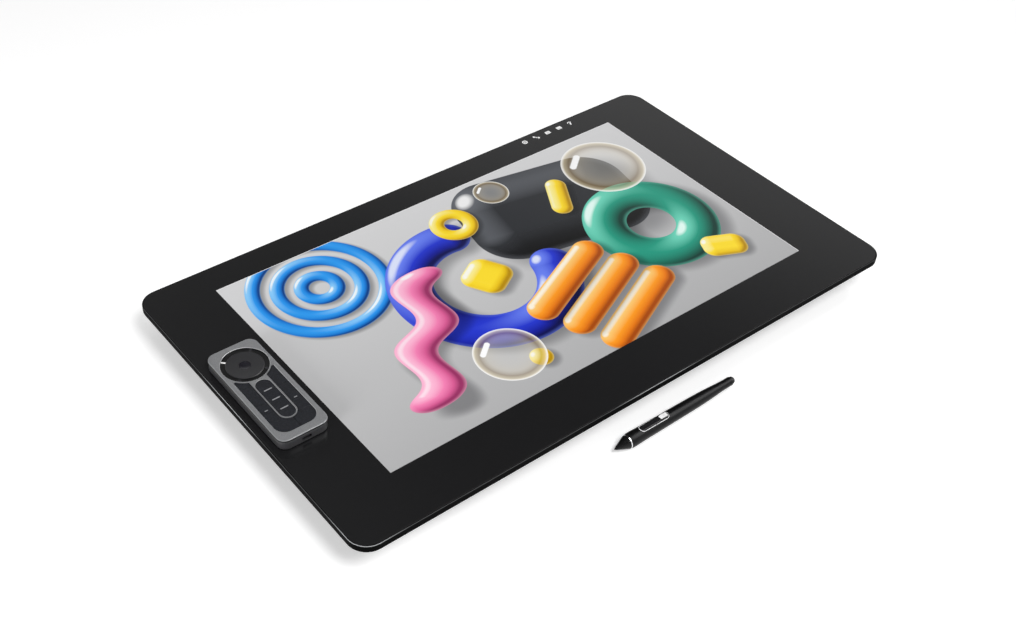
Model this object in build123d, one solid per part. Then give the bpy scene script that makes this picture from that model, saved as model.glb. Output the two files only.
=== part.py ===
"""Pen display: a graphics tablet with a screen, its key remote and its pen.

Millimetres. X runs along the tablet's long side, Y from the user's edge to the back, Z up
from the table. The pieces are drawn round the middle of the tablet's outline, and each is
moved at the end so that the origin is the middle of the whole footprint, pen included.
"""
from build123d import *
import math
import os

os.makedirs("parts", exist_ok=True)

# Tablet outline, seen from above
ACTIVE_LENGTH = 522.0
ACTIVE_DEPTH = 293.6
SIDE_BEZEL = 70.0
BACK_BEZEL = 34.4
FRONT_BEZEL = 56.7
TABLET_CORNER = 20.0
TABLET_LENGTH = ACTIVE_LENGTH + 2 * SIDE_BEZEL
TABLET_DEPTH = ACTIVE_DEPTH + BACK_BEZEL + FRONT_BEZEL
HALF_LENGTH = TABLET_LENGTH / 2
HALF_DEPTH = TABLET_DEPTH / 2
SCREEN_Y = (FRONT_BEZEL - BACK_BEZEL) / 2

# Heights over the table
REST_STRIP_HEIGHT = 3.0
COVER_HEIGHT = 36.0
FRAME_HEIGHT = 8.0
COVER_BOTTOM = REST_STRIP_HEIGHT
FRAME_BOTTOM = COVER_BOTTOM + COVER_HEIGHT
TABLET_TOP = FRAME_BOTTOM + FRAME_HEIGHT

# Clearances and one overrun for every cut
FIT = 0.3
RUNNING_FIT = 0.05
SLIDE_FIT = 0.2
OVERRUN = 1.0

# Front glass and the frame round it
GLASS_THICKNESS = 2.4
GLASS_RIM = 1.1
GLASS_GAP = 0.12
GLASS_CHAMFER = 0.3
FRAME_CHAMFER = 0.5
FRAME_UNDERCUT = 1.2
GLASS_BOTTOM = TABLET_TOP - GLASS_THICKNESS

# Picture stack behind the glass
PANEL_BORDER = 7.0
PANEL_THICKNESS = 1.6
GUIDE_THICKNESS = 3.0
TRAY_THICKNESS = 1.0
TRAY_WALL = 1.0
BOARD_THICKNESS = 1.6
DIGITIZER_INSET = 12.0
PANEL_LENGTH = ACTIVE_LENGTH + 2 * PANEL_BORDER
PANEL_DEPTH = ACTIVE_DEPTH + 2 * PANEL_BORDER
PANEL_BOTTOM = GLASS_BOTTOM - PANEL_THICKNESS
GUIDE_BOTTOM = PANEL_BOTTOM - GUIDE_THICKNESS
TRAY_BOTTOM = GUIDE_BOTTOM - TRAY_THICKNESS
DIGITIZER_BOTTOM = TRAY_BOTTOM - BOARD_THICKNESS

# Rear cover: a tapered tray with a flat bottom
COVER_TOP_INSET = 8.0
COVER_BOTTOM_INSET = 46.0
COVER_TOP_CORNER = 19.0
COVER_BOTTOM_CORNER = 34.0
COVER_WALL = 2.6
COVER_EDGE_ROUND = 5.0
COVER_FLOOR = COVER_BOTTOM + COVER_WALL
COVER_SLOPE = (COVER_BOTTOM_INSET - COVER_TOP_INSET) / COVER_HEIGHT
WALL_ACROSS = COVER_WALL * math.hypot(1, COVER_SLOPE)

# Port bay in the back slope
BAY_HALF = 92.0
BAY_DEPTH = 88.35
BAY_TOP = 27.0
BAY_WALL_Y = HALF_DEPTH - BAY_DEPTH

# Rubber strips that the tablet rests on, from beside the bay nearly to the corners
STRIP_BAY_GAP = 20.0
STRIP_END_INSET = 19.0
STRIP_START = BAY_HALF + STRIP_BAY_GAP
STRIP_END = HALF_LENGTH - COVER_BOTTOM_INSET - COVER_BOTTOM_CORNER - STRIP_END_INSET
STRIP_LENGTH = STRIP_END - STRIP_START
STRIP_X = (STRIP_START + STRIP_END) / 2
STRIP_WIDTH = 11.0
STRIP_SEAT = 0.8
STRIP_EDGE_INSET = 13.0
STRIP_ROUND = 1.0

# Fold-out legs
LEG_END_INSET = 113.0
LEG_X = HALF_LENGTH - LEG_END_INSET
LEG_WIDTH = 44.0
LEG_REACH = 128.0
LEG_THICKNESS = 9.0
LEG_RECESS = 0.5
LEG_SIDE_GAP = 1.0
LEG_HINGE_INSET = 104.35
LEG_HINGE_Y = HALF_DEPTH - LEG_HINGE_INSET
LEG_CEILING_GAP = 1.0
LEG_BACK_GAP = 1.2
LEG_BARREL_RADIUS = 4.9
LEG_PIN_RADIUS = 2.2
LEG_PIN_SEAT = 4.0
LEG_RELIEF = 4.5
LEG_RIB = 3.0
LEG_RIB_COUNT = 4
LEG_PAD_LENGTH = 9.0
LEG_ROUND = 3.0
FINGER_GAP = 13.0
POCKET_WALL = 2.4
LEG_BOTTOM = COVER_BOTTOM + LEG_RECESS
LEG_AXIS_Z = LEG_BOTTOM + LEG_BARREL_RADIUS
LEG_TOP = LEG_BOTTOM + LEG_THICKNESS
POCKET_TOP = LEG_BOTTOM + 2 * LEG_BARREL_RADIUS + LEG_CEILING_GAP
POCKET_BACK = LEG_HINGE_Y + LEG_BARREL_RADIUS + LEG_BACK_GAP
LEG_END_Y = LEG_HINGE_Y - LEG_REACH
POCKET_FRONT = LEG_END_Y - FINGER_GAP
POCKET_HALF = LEG_WIDTH / 2 + LEG_SIDE_GAP

# Plate and holes for an arm or a stand
ARM_SPACING = 100.0
ARM_HOLE_RADIUS = 2.1
ARM_PLATE_SIDE = 128.0
ARM_PLATE_THICKNESS = 2.5
ARM_PLATE_CORNER = 8.0

# Fans and vents, the fans midway between the main board and the leg pockets
BOARD_LENGTH = 170.0
FAN_X = (BOARD_LENGTH / 2 + LEG_X - POCKET_HALF - POCKET_WALL) / 2
FAN_Y = 34.0
FAN_SIDE = 62.0
FAN_HEIGHT = 12.0
FAN_CORNER = 4.0
FAN_BORE_RADIUS = 28.5
FAN_FLOOR = 1.5
FAN_HUB_RADIUS = 11.0
FAN_TIP_GAP = 1.0
FAN_BLADES = 9
FAN_BLADE_THICKNESS = 0.9
FAN_BLADE_PITCH = 38.0
FAN_BLADE_HEIGHT = 6.0
FAN_SPINDLE_RADIUS = 1.6
FAN_BOSS_RADIUS = 4.2
FAN_BOSS_HEIGHT = 3.5
FAN_STRUT = 3.0
FAN_STRUTS = 3
VENT_WIDTH = 2.6
VENT_PITCH = 4.7
VENT_COUNT = 11
VENT_LENGTH = 50.0
EXHAUST_COUNT = 13
EXHAUST_WIDTH = 3.0
EXHAUST_HEIGHT = 11.0
EXHAUST_BOTTOM = 15.0
EXHAUST_LEG_INSET = 10.0
EXHAUST_START = STRIP_START
EXHAUST_PITCH = (LEG_X - EXHAUST_LEG_INSET - EXHAUST_START) / (EXHAUST_COUNT - 1)

# Main board and its sockets, which open into the port bay
BOARD_Z = 13.0
BOARD_DEPTH = 92.0
BOARD_BOSS_RADIUS = 3.4
BOARD_BOSS_INSET = 6.0
SOCKET_DEPTH = 14.0
SOCKET_WALL = 0.5
SOCKET_TONGUE = 1.8
VIDEO_WIDTH = 15.0
VIDEO_HEIGHT = 5.6
USB_C_WIDTH = 9.0
USB_C_HEIGHT = 3.3
USB_A_WIDTH = 13.1
USB_A_HEIGHT = 5.7
INLET_SIDE = 11.0
INLET_BORE_RADIUS = 3.2
INLET_PIN_RADIUS = 1.0
VIDEO_X = (-34.0, -12.0)
USB_C_X = 7.0
USB_A_X = (24.0, 41.0, 58.0, 75.0)
INLET_END_INSET = 21.0
INLET_X = INLET_END_INSET - BOARD_LENGTH / 2

# Heat sink on the main board
SINK_LENGTH = 96.0
SINK_DEPTH = 46.0
SINK_PLATE = 2.0
PIPE_WIDTH = 8.0
PIPE_HEIGHT = 3.0
PIPE_OFFSET = 10.0
FIN_COUNT = 9
FIN_THICKNESS = 0.6
FIN_HEIGHT = 7.0

# Rear screws, in counterbores of the rear cover
SCREW_RADIUS = 1.5
SCREW_HEAD_RADIUS = 2.9
SCREW_HEAD_HEIGHT = 2.0
SCREW_BITE = 4.0
SCREW_SEAT = 6.0
SCREW_FIT = 0.1
PILLAR_RADIUS = 5.4
SCREW_SIDE_INSET = 31.0
SCREW_BACK_INSET = 16.35
SCREW_FRONT_INSET = 26.35
SCREW_LEG_INSET = 28.0
SCREW_SIDE_SHARES = (-0.273, 0.052, 0.338)
SCREW_SIDE_X = HALF_LENGTH - SCREW_SIDE_INSET
SCREW_BACK_Y = HALF_DEPTH - SCREW_BACK_INSET
SCREW_FRONT_Y = SCREW_FRONT_INSET - HALF_DEPTH
SCREW_ROW_X = LEG_X - SCREW_LEG_INSET
SOCKET_HEX_SHARE = 0.5

# Magnets under both side bezels
MAGNET_LENGTH = 34.0
MAGNET_WIDTH = 11.0
MAGNET_THICKNESS = 2.2

# Power button and touch switch in the frame's back wall
FRAME_WALL = 3.0
BUTTON_LENGTH = 12.0
BUTTON_HEIGHT = 2.4
BUTTON_PROUD = 0.6
BUTTON_FLANGE = 0.9
BUTTON_FLANGE_THICKNESS = 1.0
BUTTON_END_INSET = 69.0
SWITCH_BUTTON_GAP = 26.0
BUTTON_X = HALF_LENGTH - BUTTON_END_INSET
SWITCH_X = BUTTON_X - SWITCH_BUTTON_GAP
SWITCH_KNOB = 5.0
SWITCH_TRAVEL = 3.0
CONTROL_RISE = 3.2
CONTROL_Z = FRAME_BOTTOM + CONTROL_RISE
CONTROL_POCKET = 4.5

# Key remote, standing on the glass
REMOTE_LENGTH = 131.8
REMOTE_WIDTH = 51.0
REMOTE_HEIGHT = 12.0
REMOTE_END_INSET = 33.1
REMOTE_SETBACK = 8.2
REMOTE_X = REMOTE_END_INSET - HALF_LENGTH
REMOTE_Y = SCREEN_Y - REMOTE_SETBACK
REMOTE_CORNER = 9.0
MAGNET_END_INSET = 27.3
MAGNET_SPREAD = REMOTE_LENGTH - 2 * MAGNET_END_INSET
REMOTE_PAD = 0.6
REMOTE_PAD_WIDTH = 9.0
REMOTE_PAD_LENGTH = 40.0
REMOTE_PAD_SEAT = 0.3
FACE_THICKNESS = 2.0
FACE_EDGE_ROUND = 0.7
SHELL_WALL = 1.6
SHELL_FLOOR = 1.4
SHELL_TUCK = 4.0
SHELL_LIP = 0.5
RING_RADIUS = 22.9
RING_RIM = 0.9
RING_INSET = 28.9
RING_CENTRE = REMOTE_LENGTH / 2 - RING_INSET
DISC_RADIUS = 17.9
DISC_RISE = 1.0
DISC_DISH = 0.7
CHANNEL_DROP = 1.3
RING_BUTTON_RADIUS = 5.4
RING_BUTTON_DISH = 0.5
RING_THICKNESS = 2.4
CAPSULE_RADIUS = 7.9
CAPSULE_RIM = 1.2
RING_CAPSULE_GAP = 2.0
FIELD_RING_DROP = 14.8
FIELD_END_INSET = 8.3
CAPSULE_FIELD_SHARE = 0.116
FIELD_HALF = 21.2
FIELD_CORNER = 12.0
CAPSULE_FIELD_GAP = CAPSULE_FIELD_SHARE * REMOTE_LENGTH
FIELD_TOP = RING_CENTRE - FIELD_RING_DROP
FIELD_BOTTOM = FIELD_END_INSET - REMOTE_LENGTH / 2
CAPSULE_TOP = RING_CENTRE - RING_RADIUS - RING_CAPSULE_GAP
CAPSULE_BOTTOM = FIELD_BOTTOM + CAPSULE_FIELD_GAP
KEY_GAP = 0.25
KEY_TRAVEL = 0.4
KEY_SINK = 0.35
KEY_DEPTH = 3.6
KEY_ROUND = 0.3
KEY_COUNT = 4
SIDE_KEY_COUNT = 6
END_KEY_RISE = 1.9
END_KEY_DEPTH = CAPSULE_FIELD_GAP + END_KEY_RISE
BAR_LENGTH = 8.0
BAR_WIDTH = 1.1
BAR_RISE = 0.35
TACTILE_ROW = 3
DOT_LENGTH = 3.2
DOT_WIDTH = 0.8
DOME_RADIUS = 2.2
DOME_GAP = 0.1
REMOTE_BOARD_THICKNESS = 1.2
REMOTE_BOARD_GAP = 1.0
BATTERY_END_INSET = 38.3
BATTERY_LENGTH = REMOTE_LENGTH - 2 * BATTERY_END_INSET
BATTERY_WIDTH = 34.0
REMOTE_MAGNET_RADIUS = 5.0
REMOTE_MAGNET_INSET = 22.3
REMOTE_MAGNET_SPREAD = REMOTE_LENGTH - 2 * REMOTE_MAGNET_INSET
REMOTE_MAGNET_THICKNESS = 2.0
MARK_WIDTH = 1.5
MARK_COUNT = 4
MARK_ANGLE = 45.0
MARK_RISE = 0.25
CHARGE_WIDTH = 8.6
CHARGE_HEIGHT = 3.0
SLIDER_LENGTH = 5.0
SLIDER_HEIGHT = 2.4
SLIDER_PROUD = 0.4
SLIDER_TRAVEL = 2.0
SLIDER_FLANGE = 0.8
SLIDER_Y = 8.0

# Pen, lying on the table in front with its tip to the left
PEN_LENGTH = 157.3
PEN_TIP_X = -58.8
PEN_GAP = 12.0
PEN_RADIUS = 7.6
NIB_RADIUS = 0.8
NIB_PROUD = 1.8
NIB_LENGTH = 12.8
NIB_TRAVEL = 0.6
NOSE_TIP_RADIUS = 1.5
NOSE_LENGTH = 15.2
NOSE_BASE_RADIUS = 6.9
RING_BAND = 1.1
RING_BAND_RADIUS = 7.15
BARREL_BORE_RADIUS = 3.8
CORE_RADIUS = 3.5
CORE_LENGTH = 100.0
COIL_RADIUS = 3.7
COIL_LENGTH = 18.0
PEN_END_RADIUS = 4.6
ERASER_RADIUS = 3.7
ERASER_PROUD = 5.0
ERASER_STEM_RADIUS = 2.4
ERASER_STEM = 9.0
ERASER_TRAVEL = 0.8
ROCKER_START = 31.5
ROCKER_LENGTH = 35.0
ROCKER_WIDTH = 6.2
ROCKER_PROUD = 0.7
ROCKER_DEPTH = 2.2
ROCKER_SWING = 2.5
ROCKER_AXLE_RADIUS = 0.7
ROCKER_AXLE_REACH = 0.9
ROCKER_GAP = 0.25
# Corner rounds as shares of a rod's radius, the height of the rocker's bed and the place of a
# tactile mark on its key
TIP_ROUND_SHARE = 0.8
CORE_SLIM_SHARE = 0.8
ROCKER_BED_SHARE = 0.9
TACTILE_SHARE = 0.28
# Barrel radius along its length, as shares of the pen's length and of its largest radius
BARREL_POINT_SHARES = (
    (0.111, 0.96),
    (0.135, 0.99),
    (0.19, 0.955),
    (0.26, 0.93),
    (0.40, 0.90),
    (0.58, 0.86),
    (0.80, 0.72),
    (0.962, 0.60),
)

# Place of the tablet in the footprint that it shares with the pen
PEN_AXIS_Y = -HALF_DEPTH - PEN_GAP
TABLET_Y = (PEN_GAP + PEN_RADIUS - BUTTON_PROUD) / 2


def write(node, shape):
    """Save one node, moved into the shared footprint."""
    export_step(Pos(0, TABLET_Y, 0) * shape, f"parts/{node}.step")


def slab(outline, low, high):
    """A flat outline raised from one height to another."""
    return Pos(0, 0, low) * extrude(outline, high - low)


def block(x_low, x_high, y_low, y_high, z_low, z_high):
    """A box between two corners."""
    middle = Pos((x_low + x_high) / 2, (y_low + y_high) / 2, (z_low + z_high) / 2)
    return middle * Box(x_high - x_low, y_high - y_low, z_high - z_low)


def post(x, y, low, high, radius):
    """An upright cylinder."""
    return Pos(x, y, (low + high) / 2) * Cylinder(radius, high - low)


def together(solids):
    """Separate solids kept as one node."""
    return Part() + list(solids)


def tablet_outline(inset, corner):
    """The tablet's rounded outline, drawn in by an inset."""
    return RectangleRounded(TABLET_LENGTH - 2 * inset, TABLET_DEPTH - 2 * inset, corner)


def screen_rectangle(length, depth):
    """A rectangle centred on the picture, which sits nearer to the back edge."""
    return Pos(0, SCREEN_Y) * Rectangle(length, depth)


# Display: glass, frame and the picture stack


def front_glass():
    """The sheet of glass, with a small ground edge."""
    inset = GLASS_RIM + GLASS_GAP
    sheet = slab(tablet_outline(inset, TABLET_CORNER - inset), GLASS_BOTTOM, TABLET_TOP)
    return chamfer(sheet.faces().sort_by(Axis.Z)[-1].edges(), GLASS_CHAMFER)


def magnet_places():
    """Centres of the magnets under the left and right bezels."""
    return [
        (side * REMOTE_X, REMOTE_Y + end * MAGNET_SPREAD / 2)
        for side in (-1, 1)
        for end in (-1, 1)
    ]


def magnet_blocks(clearance):
    """The four bezel magnets, or with a clearance their pockets."""
    half_width = MAGNET_WIDTH / 2 + clearance
    half_length = MAGNET_LENGTH / 2 + clearance
    low = GLASS_BOTTOM - MAGNET_THICKNESS - clearance
    return [
        block(x - half_width, x + half_width, y - half_length, y + half_length, low, GLASS_BOTTOM)
        for x, y in magnet_places()
    ]


def back_slot(x, length, height, reach):
    """An oblong that runs through the frame's back wall at one place."""
    outline = SlotOverall(length, height)
    start = HALF_DEPTH + OVERRUN
    return Pos(x, start, CONTROL_Z) * Rot(90, 0, 0) * extrude(outline, reach + OVERRUN)


def control_pocket(x, half_length):
    """The space behind the back wall where a button's flange moves, open below."""
    wall = HALF_DEPTH - FRAME_WALL
    top = CONTROL_Z + BUTTON_HEIGHT / 2 + BUTTON_FLANGE
    return block(
        x - half_length, x + half_length, wall - CONTROL_POCKET, wall, FRAME_BOTTOM - OVERRUN, top
    )


def button_half():
    return BUTTON_LENGTH / 2 + BUTTON_FLANGE


def switch_half():
    return (SWITCH_KNOB + SWITCH_TRAVEL) / 2 + BUTTON_FLANGE + SWITCH_TRAVEL / 2


def mid_frame():
    """The frame that carries the glass and closes the edge all round."""
    body = slab(tablet_outline(0, TABLET_CORNER), FRAME_BOTTOM, TABLET_TOP)
    body = chamfer(body.faces().sort_by(Axis.Z)[-1].edges(), FRAME_CHAMFER)
    body = fillet(body.faces().sort_by(Axis.Z)[0].edges(), FRAME_UNDERCUT)
    seat = tablet_outline(GLASS_RIM, TABLET_CORNER - GLASS_RIM)
    body -= slab(seat, GLASS_BOTTOM, TABLET_TOP + OVERRUN)
    window = screen_rectangle(PANEL_LENGTH + 2 * FIT, PANEL_DEPTH + 2 * FIT)
    body -= slab(window, FRAME_BOTTOM - OVERRUN, TABLET_TOP)
    body -= magnet_blocks(GLASS_GAP)
    body -= back_slot(
        BUTTON_X, BUTTON_LENGTH + 2 * SLIDE_FIT, BUTTON_HEIGHT + 2 * SLIDE_FIT, FRAME_WALL
    )
    body -= control_pocket(BUTTON_X, button_half() + SLIDE_FIT)
    slot = SWITCH_KNOB + SWITCH_TRAVEL + 2 * SLIDE_FIT
    body -= back_slot(SWITCH_X, slot, BUTTON_HEIGHT + 2 * SLIDE_FIT, FRAME_WALL)
    body -= control_pocket(SWITCH_X, switch_half() + SLIDE_FIT)
    for x, y in screw_places():
        body -= post(
            x, y, FRAME_BOTTOM - OVERRUN, FRAME_BOTTOM + SCREW_BITE + SCREW_FIT, SCREW_RADIUS + SCREW_FIT
        )
    return body


def lcd_panel():
    return slab(screen_rectangle(PANEL_LENGTH, PANEL_DEPTH), PANEL_BOTTOM, GLASS_BOTTOM)


def light_guide():
    outline = screen_rectangle(PANEL_LENGTH - 2 * TRAY_WALL, PANEL_DEPTH - 2 * TRAY_WALL)
    return slab(outline, GUIDE_BOTTOM, PANEL_BOTTOM)


def backlight_tray():
    """A shallow metal tray that holds the light guide, with its wall up to the panel."""
    body = slab(screen_rectangle(PANEL_LENGTH, PANEL_DEPTH), TRAY_BOTTOM, PANEL_BOTTOM)
    inside = screen_rectangle(PANEL_LENGTH - 2 * TRAY_WALL, PANEL_DEPTH - 2 * TRAY_WALL)
    return body - slab(inside, GUIDE_BOTTOM, PANEL_BOTTOM + OVERRUN)


def digitizer_board():
    outline = screen_rectangle(PANEL_LENGTH - DIGITIZER_INSET, PANEL_DEPTH - DIGITIZER_INSET)
    return slab(outline, DIGITIZER_BOTTOM, TRAY_BOTTOM)


def bezel_magnets():
    return together(magnet_blocks(0))


# Rear cover and what is fastened to it


def cover_form(inset, bottom, top):
    """The cover's tapered form, drawn in by an inset and cut at two heights."""
    rise_low = (bottom - COVER_BOTTOM) * COVER_SLOPE
    rise_high = (top - COVER_BOTTOM) * COVER_SLOPE
    spread = (COVER_BOTTOM_CORNER - COVER_TOP_CORNER) / COVER_HEIGHT
    low = tablet_outline(
        COVER_BOTTOM_INSET + inset - rise_low,
        COVER_BOTTOM_CORNER - inset - (bottom - COVER_BOTTOM) * spread,
    )
    high = tablet_outline(
        COVER_BOTTOM_INSET + inset - rise_high,
        COVER_BOTTOM_CORNER - inset - (top - COVER_BOTTOM) * spread,
    )
    return loft([Pos(0, 0, bottom) * low, Pos(0, 0, top) * high], ruled=True)


def screw_places():
    """Centres of the rear screws: along both sides, the back and the front."""
    sides = [
        (side * SCREW_SIDE_X, share * TABLET_DEPTH) for side in (-1, 1) for share in SCREW_SIDE_SHARES
    ]
    rows = [(side * SCREW_ROW_X, y) for y in (SCREW_FRONT_Y, SCREW_BACK_Y) for side in (-1, 0, 1)]
    return sides + rows


def leg_pocket(x, grow):
    """The pocket for one folded leg, or with a growth the wall round it."""
    return block(
        x - POCKET_HALF - grow,
        x + POCKET_HALF + grow,
        POCKET_FRONT - grow,
        POCKET_BACK + grow,
        COVER_BOTTOM - (OVERRUN if grow == 0 else 0),
        POCKET_TOP + grow,
    )


def leg_pin(x, clearance):
    """The pin across one pocket, seated in both side walls."""
    length = 2 * POCKET_HALF + LEG_PIN_SEAT + 2 * clearance
    return Pos(x, LEG_HINGE_Y, LEG_AXIS_Z) * Rot(0, 90, 0) * Cylinder(LEG_PIN_RADIUS + clearance, length)


def bay_form(grow):
    """The port bay cut into the back slope, or with a growth the wall round it."""
    reach = HALF_DEPTH if grow == 0 else HALF_DEPTH - COVER_TOP_INSET
    low = COVER_BOTTOM - OVERRUN if grow == 0 else COVER_BOTTOM
    return block(-BAY_HALF - grow, BAY_HALF + grow, BAY_WALL_Y - grow, reach, low, BAY_TOP + grow)


def board_bosses():
    """Centres of the posts that carry the main board."""
    x = BOARD_LENGTH / 2 - BOARD_BOSS_INSET
    back = board_back() - BOARD_BOSS_INSET - SOCKET_DEPTH
    front = board_back() - BOARD_DEPTH + BOARD_BOSS_INSET
    return [(side * x, y) for side in (-1, 1) for y in (front, back)]


def board_back():
    return BAY_WALL_Y - COVER_WALL - FIT


def strip_places():
    """Middles of the four rest strips, clear of the port bay between the back two."""
    reach = HALF_DEPTH - COVER_BOTTOM_INSET - STRIP_EDGE_INSET
    return [(x, y) for x in (-STRIP_X, STRIP_X) for y in (-reach, reach)]


def strip_outline(clearance):
    return SlotOverall(STRIP_LENGTH + 2 * clearance, STRIP_WIDTH + 2 * clearance)


def arm_holes():
    half = ARM_SPACING / 2
    return [(x, y) for x in (-half, half) for y in (-half, half)]


def vent_slots():
    """Intake slots under each fan and exhaust slots in the back slope."""
    slots = []
    for side in (-1, 1):
        for row in range(VENT_COUNT):
            y = FAN_Y + (row - (VENT_COUNT - 1) / 2) * VENT_PITCH
            reach = math.sqrt(FAN_BORE_RADIUS**2 - (y - FAN_Y) ** 2)
            half = min(VENT_LENGTH / 2, reach)
            outline = SlotOverall(2 * half, VENT_WIDTH)
            cut = extrude(outline, COVER_WALL + 2 * OVERRUN)
            slots.append(Pos(side * FAN_X, y, COVER_BOTTOM - OVERRUN) * cut)
        for column in range(EXHAUST_COUNT):
            x = side * (EXHAUST_START + column * EXHAUST_PITCH)
            low = COVER_BOTTOM + EXHAUST_BOTTOM
            y_out = HALF_DEPTH
            y_in = HALF_DEPTH - COVER_BOTTOM_INSET
            half = EXHAUST_WIDTH / 2
            slots.append(block(x - half, x + half, y_in, y_out, low, low + EXHAUST_HEIGHT))
    return slots


def rear_cover():
    """The moulded cover: tapered wall, pockets, port bay, vents and screw pillars."""
    outside = cover_form(0, COVER_BOTTOM, FRAME_BOTTOM)
    outside = fillet(outside.faces().sort_by(Axis.Z)[0].edges(), COVER_EDGE_ROUND)
    inside = cover_form(WALL_ACROSS, COVER_FLOOR, FRAME_BOTTOM)
    body = outside - inside
    walls = [leg_pocket(side * LEG_X, POCKET_WALL) for side in (-1, 1)]
    walls.append(bay_form(COVER_WALL))
    walls += [
        post(x, y, COVER_BOTTOM, FRAME_BOTTOM, PILLAR_RADIUS) for x, y in screw_places()
    ]
    walls += [post(x, y, COVER_FLOOR, BOARD_Z, BOARD_BOSS_RADIUS) for x, y in board_bosses()]
    body += [wall & outside for wall in walls]
    cuts = [leg_pocket(side * LEG_X, 0) for side in (-1, 1)]
    cuts += [leg_pin(side * LEG_X, 0) for side in (-1, 1)]
    cuts.append(bay_form(0))
    cuts += socket_windows()
    seat = FRAME_BOTTOM - SCREW_SEAT
    for x, y in screw_places():
        cuts.append(post(x, y, COVER_BOTTOM - OVERRUN, seat, SCREW_HEAD_RADIUS + FIT))
        cuts.append(post(x, y, seat, FRAME_BOTTOM + OVERRUN, SCREW_RADIUS + SCREW_FIT))
    low = COVER_BOTTOM - OVERRUN
    for x, y in strip_places():
        cuts.append(slab(Pos(x, y) * strip_outline(FIT), low, COVER_BOTTOM + STRIP_SEAT))
    for x, y in arm_holes():
        cuts.append(post(x, y, low, COVER_FLOOR + OVERRUN, ARM_HOLE_RADIUS))
    cuts += vent_slots()
    return body - cuts


def rest_strips():
    """Four rubber strips let into the bottom of the cover."""
    strips = []
    for x, y in strip_places():
        strip = slab(Pos(x, y) * strip_outline(0), 0, COVER_BOTTOM + STRIP_SEAT)
        strips.append(fillet(strip.faces().sort_by(Axis.Z)[0].edges(), STRIP_ROUND))
    return together(strips)


def arm_plate():
    """Steel plate on the cover's floor, tapped for the screws of an arm or a stand."""
    outline = RectangleRounded(ARM_PLATE_SIDE, ARM_PLATE_SIDE, ARM_PLATE_CORNER)
    plate = slab(outline, COVER_FLOOR, COVER_FLOOR + ARM_PLATE_THICKNESS)
    return plate - [
        post(x, y, COVER_FLOOR - OVERRUN, COVER_FLOOR + ARM_PLATE_THICKNESS + OVERRUN, ARM_HOLE_RADIUS)
        for x, y in arm_holes()
    ]


def rear_screws():
    """The screws, heads down in their counterbores."""
    seat = FRAME_BOTTOM - SCREW_SEAT
    screws = []
    for x, y in screw_places():
        head = post(x, y, seat - SCREW_HEAD_HEIGHT, seat, SCREW_HEAD_RADIUS)
        socket = RegularPolygon(SCREW_HEAD_RADIUS * SOCKET_HEX_SHARE, 6)
        low = seat - SCREW_HEAD_HEIGHT - OVERRUN
        depth = OVERRUN + SCREW_HEAD_HEIGHT * SOCKET_HEX_SHARE
        head -= Pos(x, y, low) * extrude(socket, depth)
        screws.append(head + post(x, y, seat, FRAME_BOTTOM + SCREW_BITE, SCREW_RADIUS))
    return together(screws)


# Legs


def leg(side):
    """A flat leg with ribs inside and a hinge barrel at its back end."""
    x = side * LEG_X
    half = LEG_WIDTH / 2
    front = LEG_END_Y + LEG_PAD_LENGTH
    plate = block(x - half, x + half, front, LEG_HINGE_Y, LEG_BOTTOM, LEG_TOP)
    plate = fillet(plate.edges().filter_by(Axis.Y).group_by(Axis.Z)[0], LEG_ROUND)
    relief_back = LEG_HINGE_Y - LEG_BARREL_RADIUS - LEG_RIB
    low = LEG_BOTTOM + LEG_RELIEF
    plate -= block(
        x - half + LEG_RIB, x + half - LEG_RIB, front + LEG_RIB, relief_back, low, LEG_TOP + OVERRUN
    )
    span = (relief_back - front - LEG_RIB) / (LEG_RIB_COUNT + 1)
    for rib in range(LEG_RIB_COUNT):
        y = front + LEG_RIB + (rib + 1) * span
        plate += block(x - half, x + half, y - LEG_RIB / 2, y + LEG_RIB / 2, LEG_BOTTOM + LEG_ROUND, LEG_TOP)
    barrel = Rot(0, 90, 0) * Cylinder(LEG_BARREL_RADIUS, LEG_WIDTH)
    plate += Pos(x, LEG_HINGE_Y, LEG_AXIS_Z) * barrel
    bore = Rot(0, 90, 0) * Cylinder(LEG_PIN_RADIUS + RUNNING_FIT, LEG_WIDTH + OVERRUN)
    return plate - Pos(x, LEG_HINGE_Y, LEG_AXIS_Z) * bore


def leg_pad(side):
    """The rubber end of a leg, which stands on the table when the leg is out."""
    x = side * LEG_X
    half = LEG_WIDTH / 2
    pad = block(x - half, x + half, LEG_END_Y, LEG_END_Y + LEG_PAD_LENGTH, LEG_BOTTOM, LEG_TOP)
    pad = fillet(pad.edges().filter_by(Axis.X).group_by(Axis.Y)[0], LEG_ROUND)
    return fillet(pad.edges().filter_by(Axis.Y).group_by(Axis.Z)[0], LEG_ROUND)


def leg_pins():
    return together([leg_pin(side * LEG_X, 0) for side in (-1, 1)])


# Boards, sockets, heat sink and fans


def main_board():
    """The main board on its posts, with its sockets at the back edge."""
    back = board_back()
    half = BOARD_LENGTH / 2
    return block(-half, half, back - BOARD_DEPTH, back, BOARD_Z, BOARD_Z + BOARD_THICKNESS)


def socket_front():
    return BAY_WALL_Y


def socket_shell(x, width, height, tongue):
    """A metal socket on the board's edge: an open-ended shell round a tongue."""
    low = BOARD_Z + BOARD_THICKNESS
    front = socket_front()
    back = front - SOCKET_DEPTH
    shell = block(x - width / 2, x + width / 2, back, front, low, low + height)
    inner = width / 2 - SOCKET_WALL
    hollow = back + SOCKET_WALL
    top = low + height - SOCKET_WALL
    shell -= block(x - inner, x + inner, hollow, front + OVERRUN, low + SOCKET_WALL, top)
    middle = low + height / 2
    reach = inner - tongue
    return shell + block(
        x - reach, x + reach, back, front - tongue, middle - tongue / 2, middle + tongue / 2
    )


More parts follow.
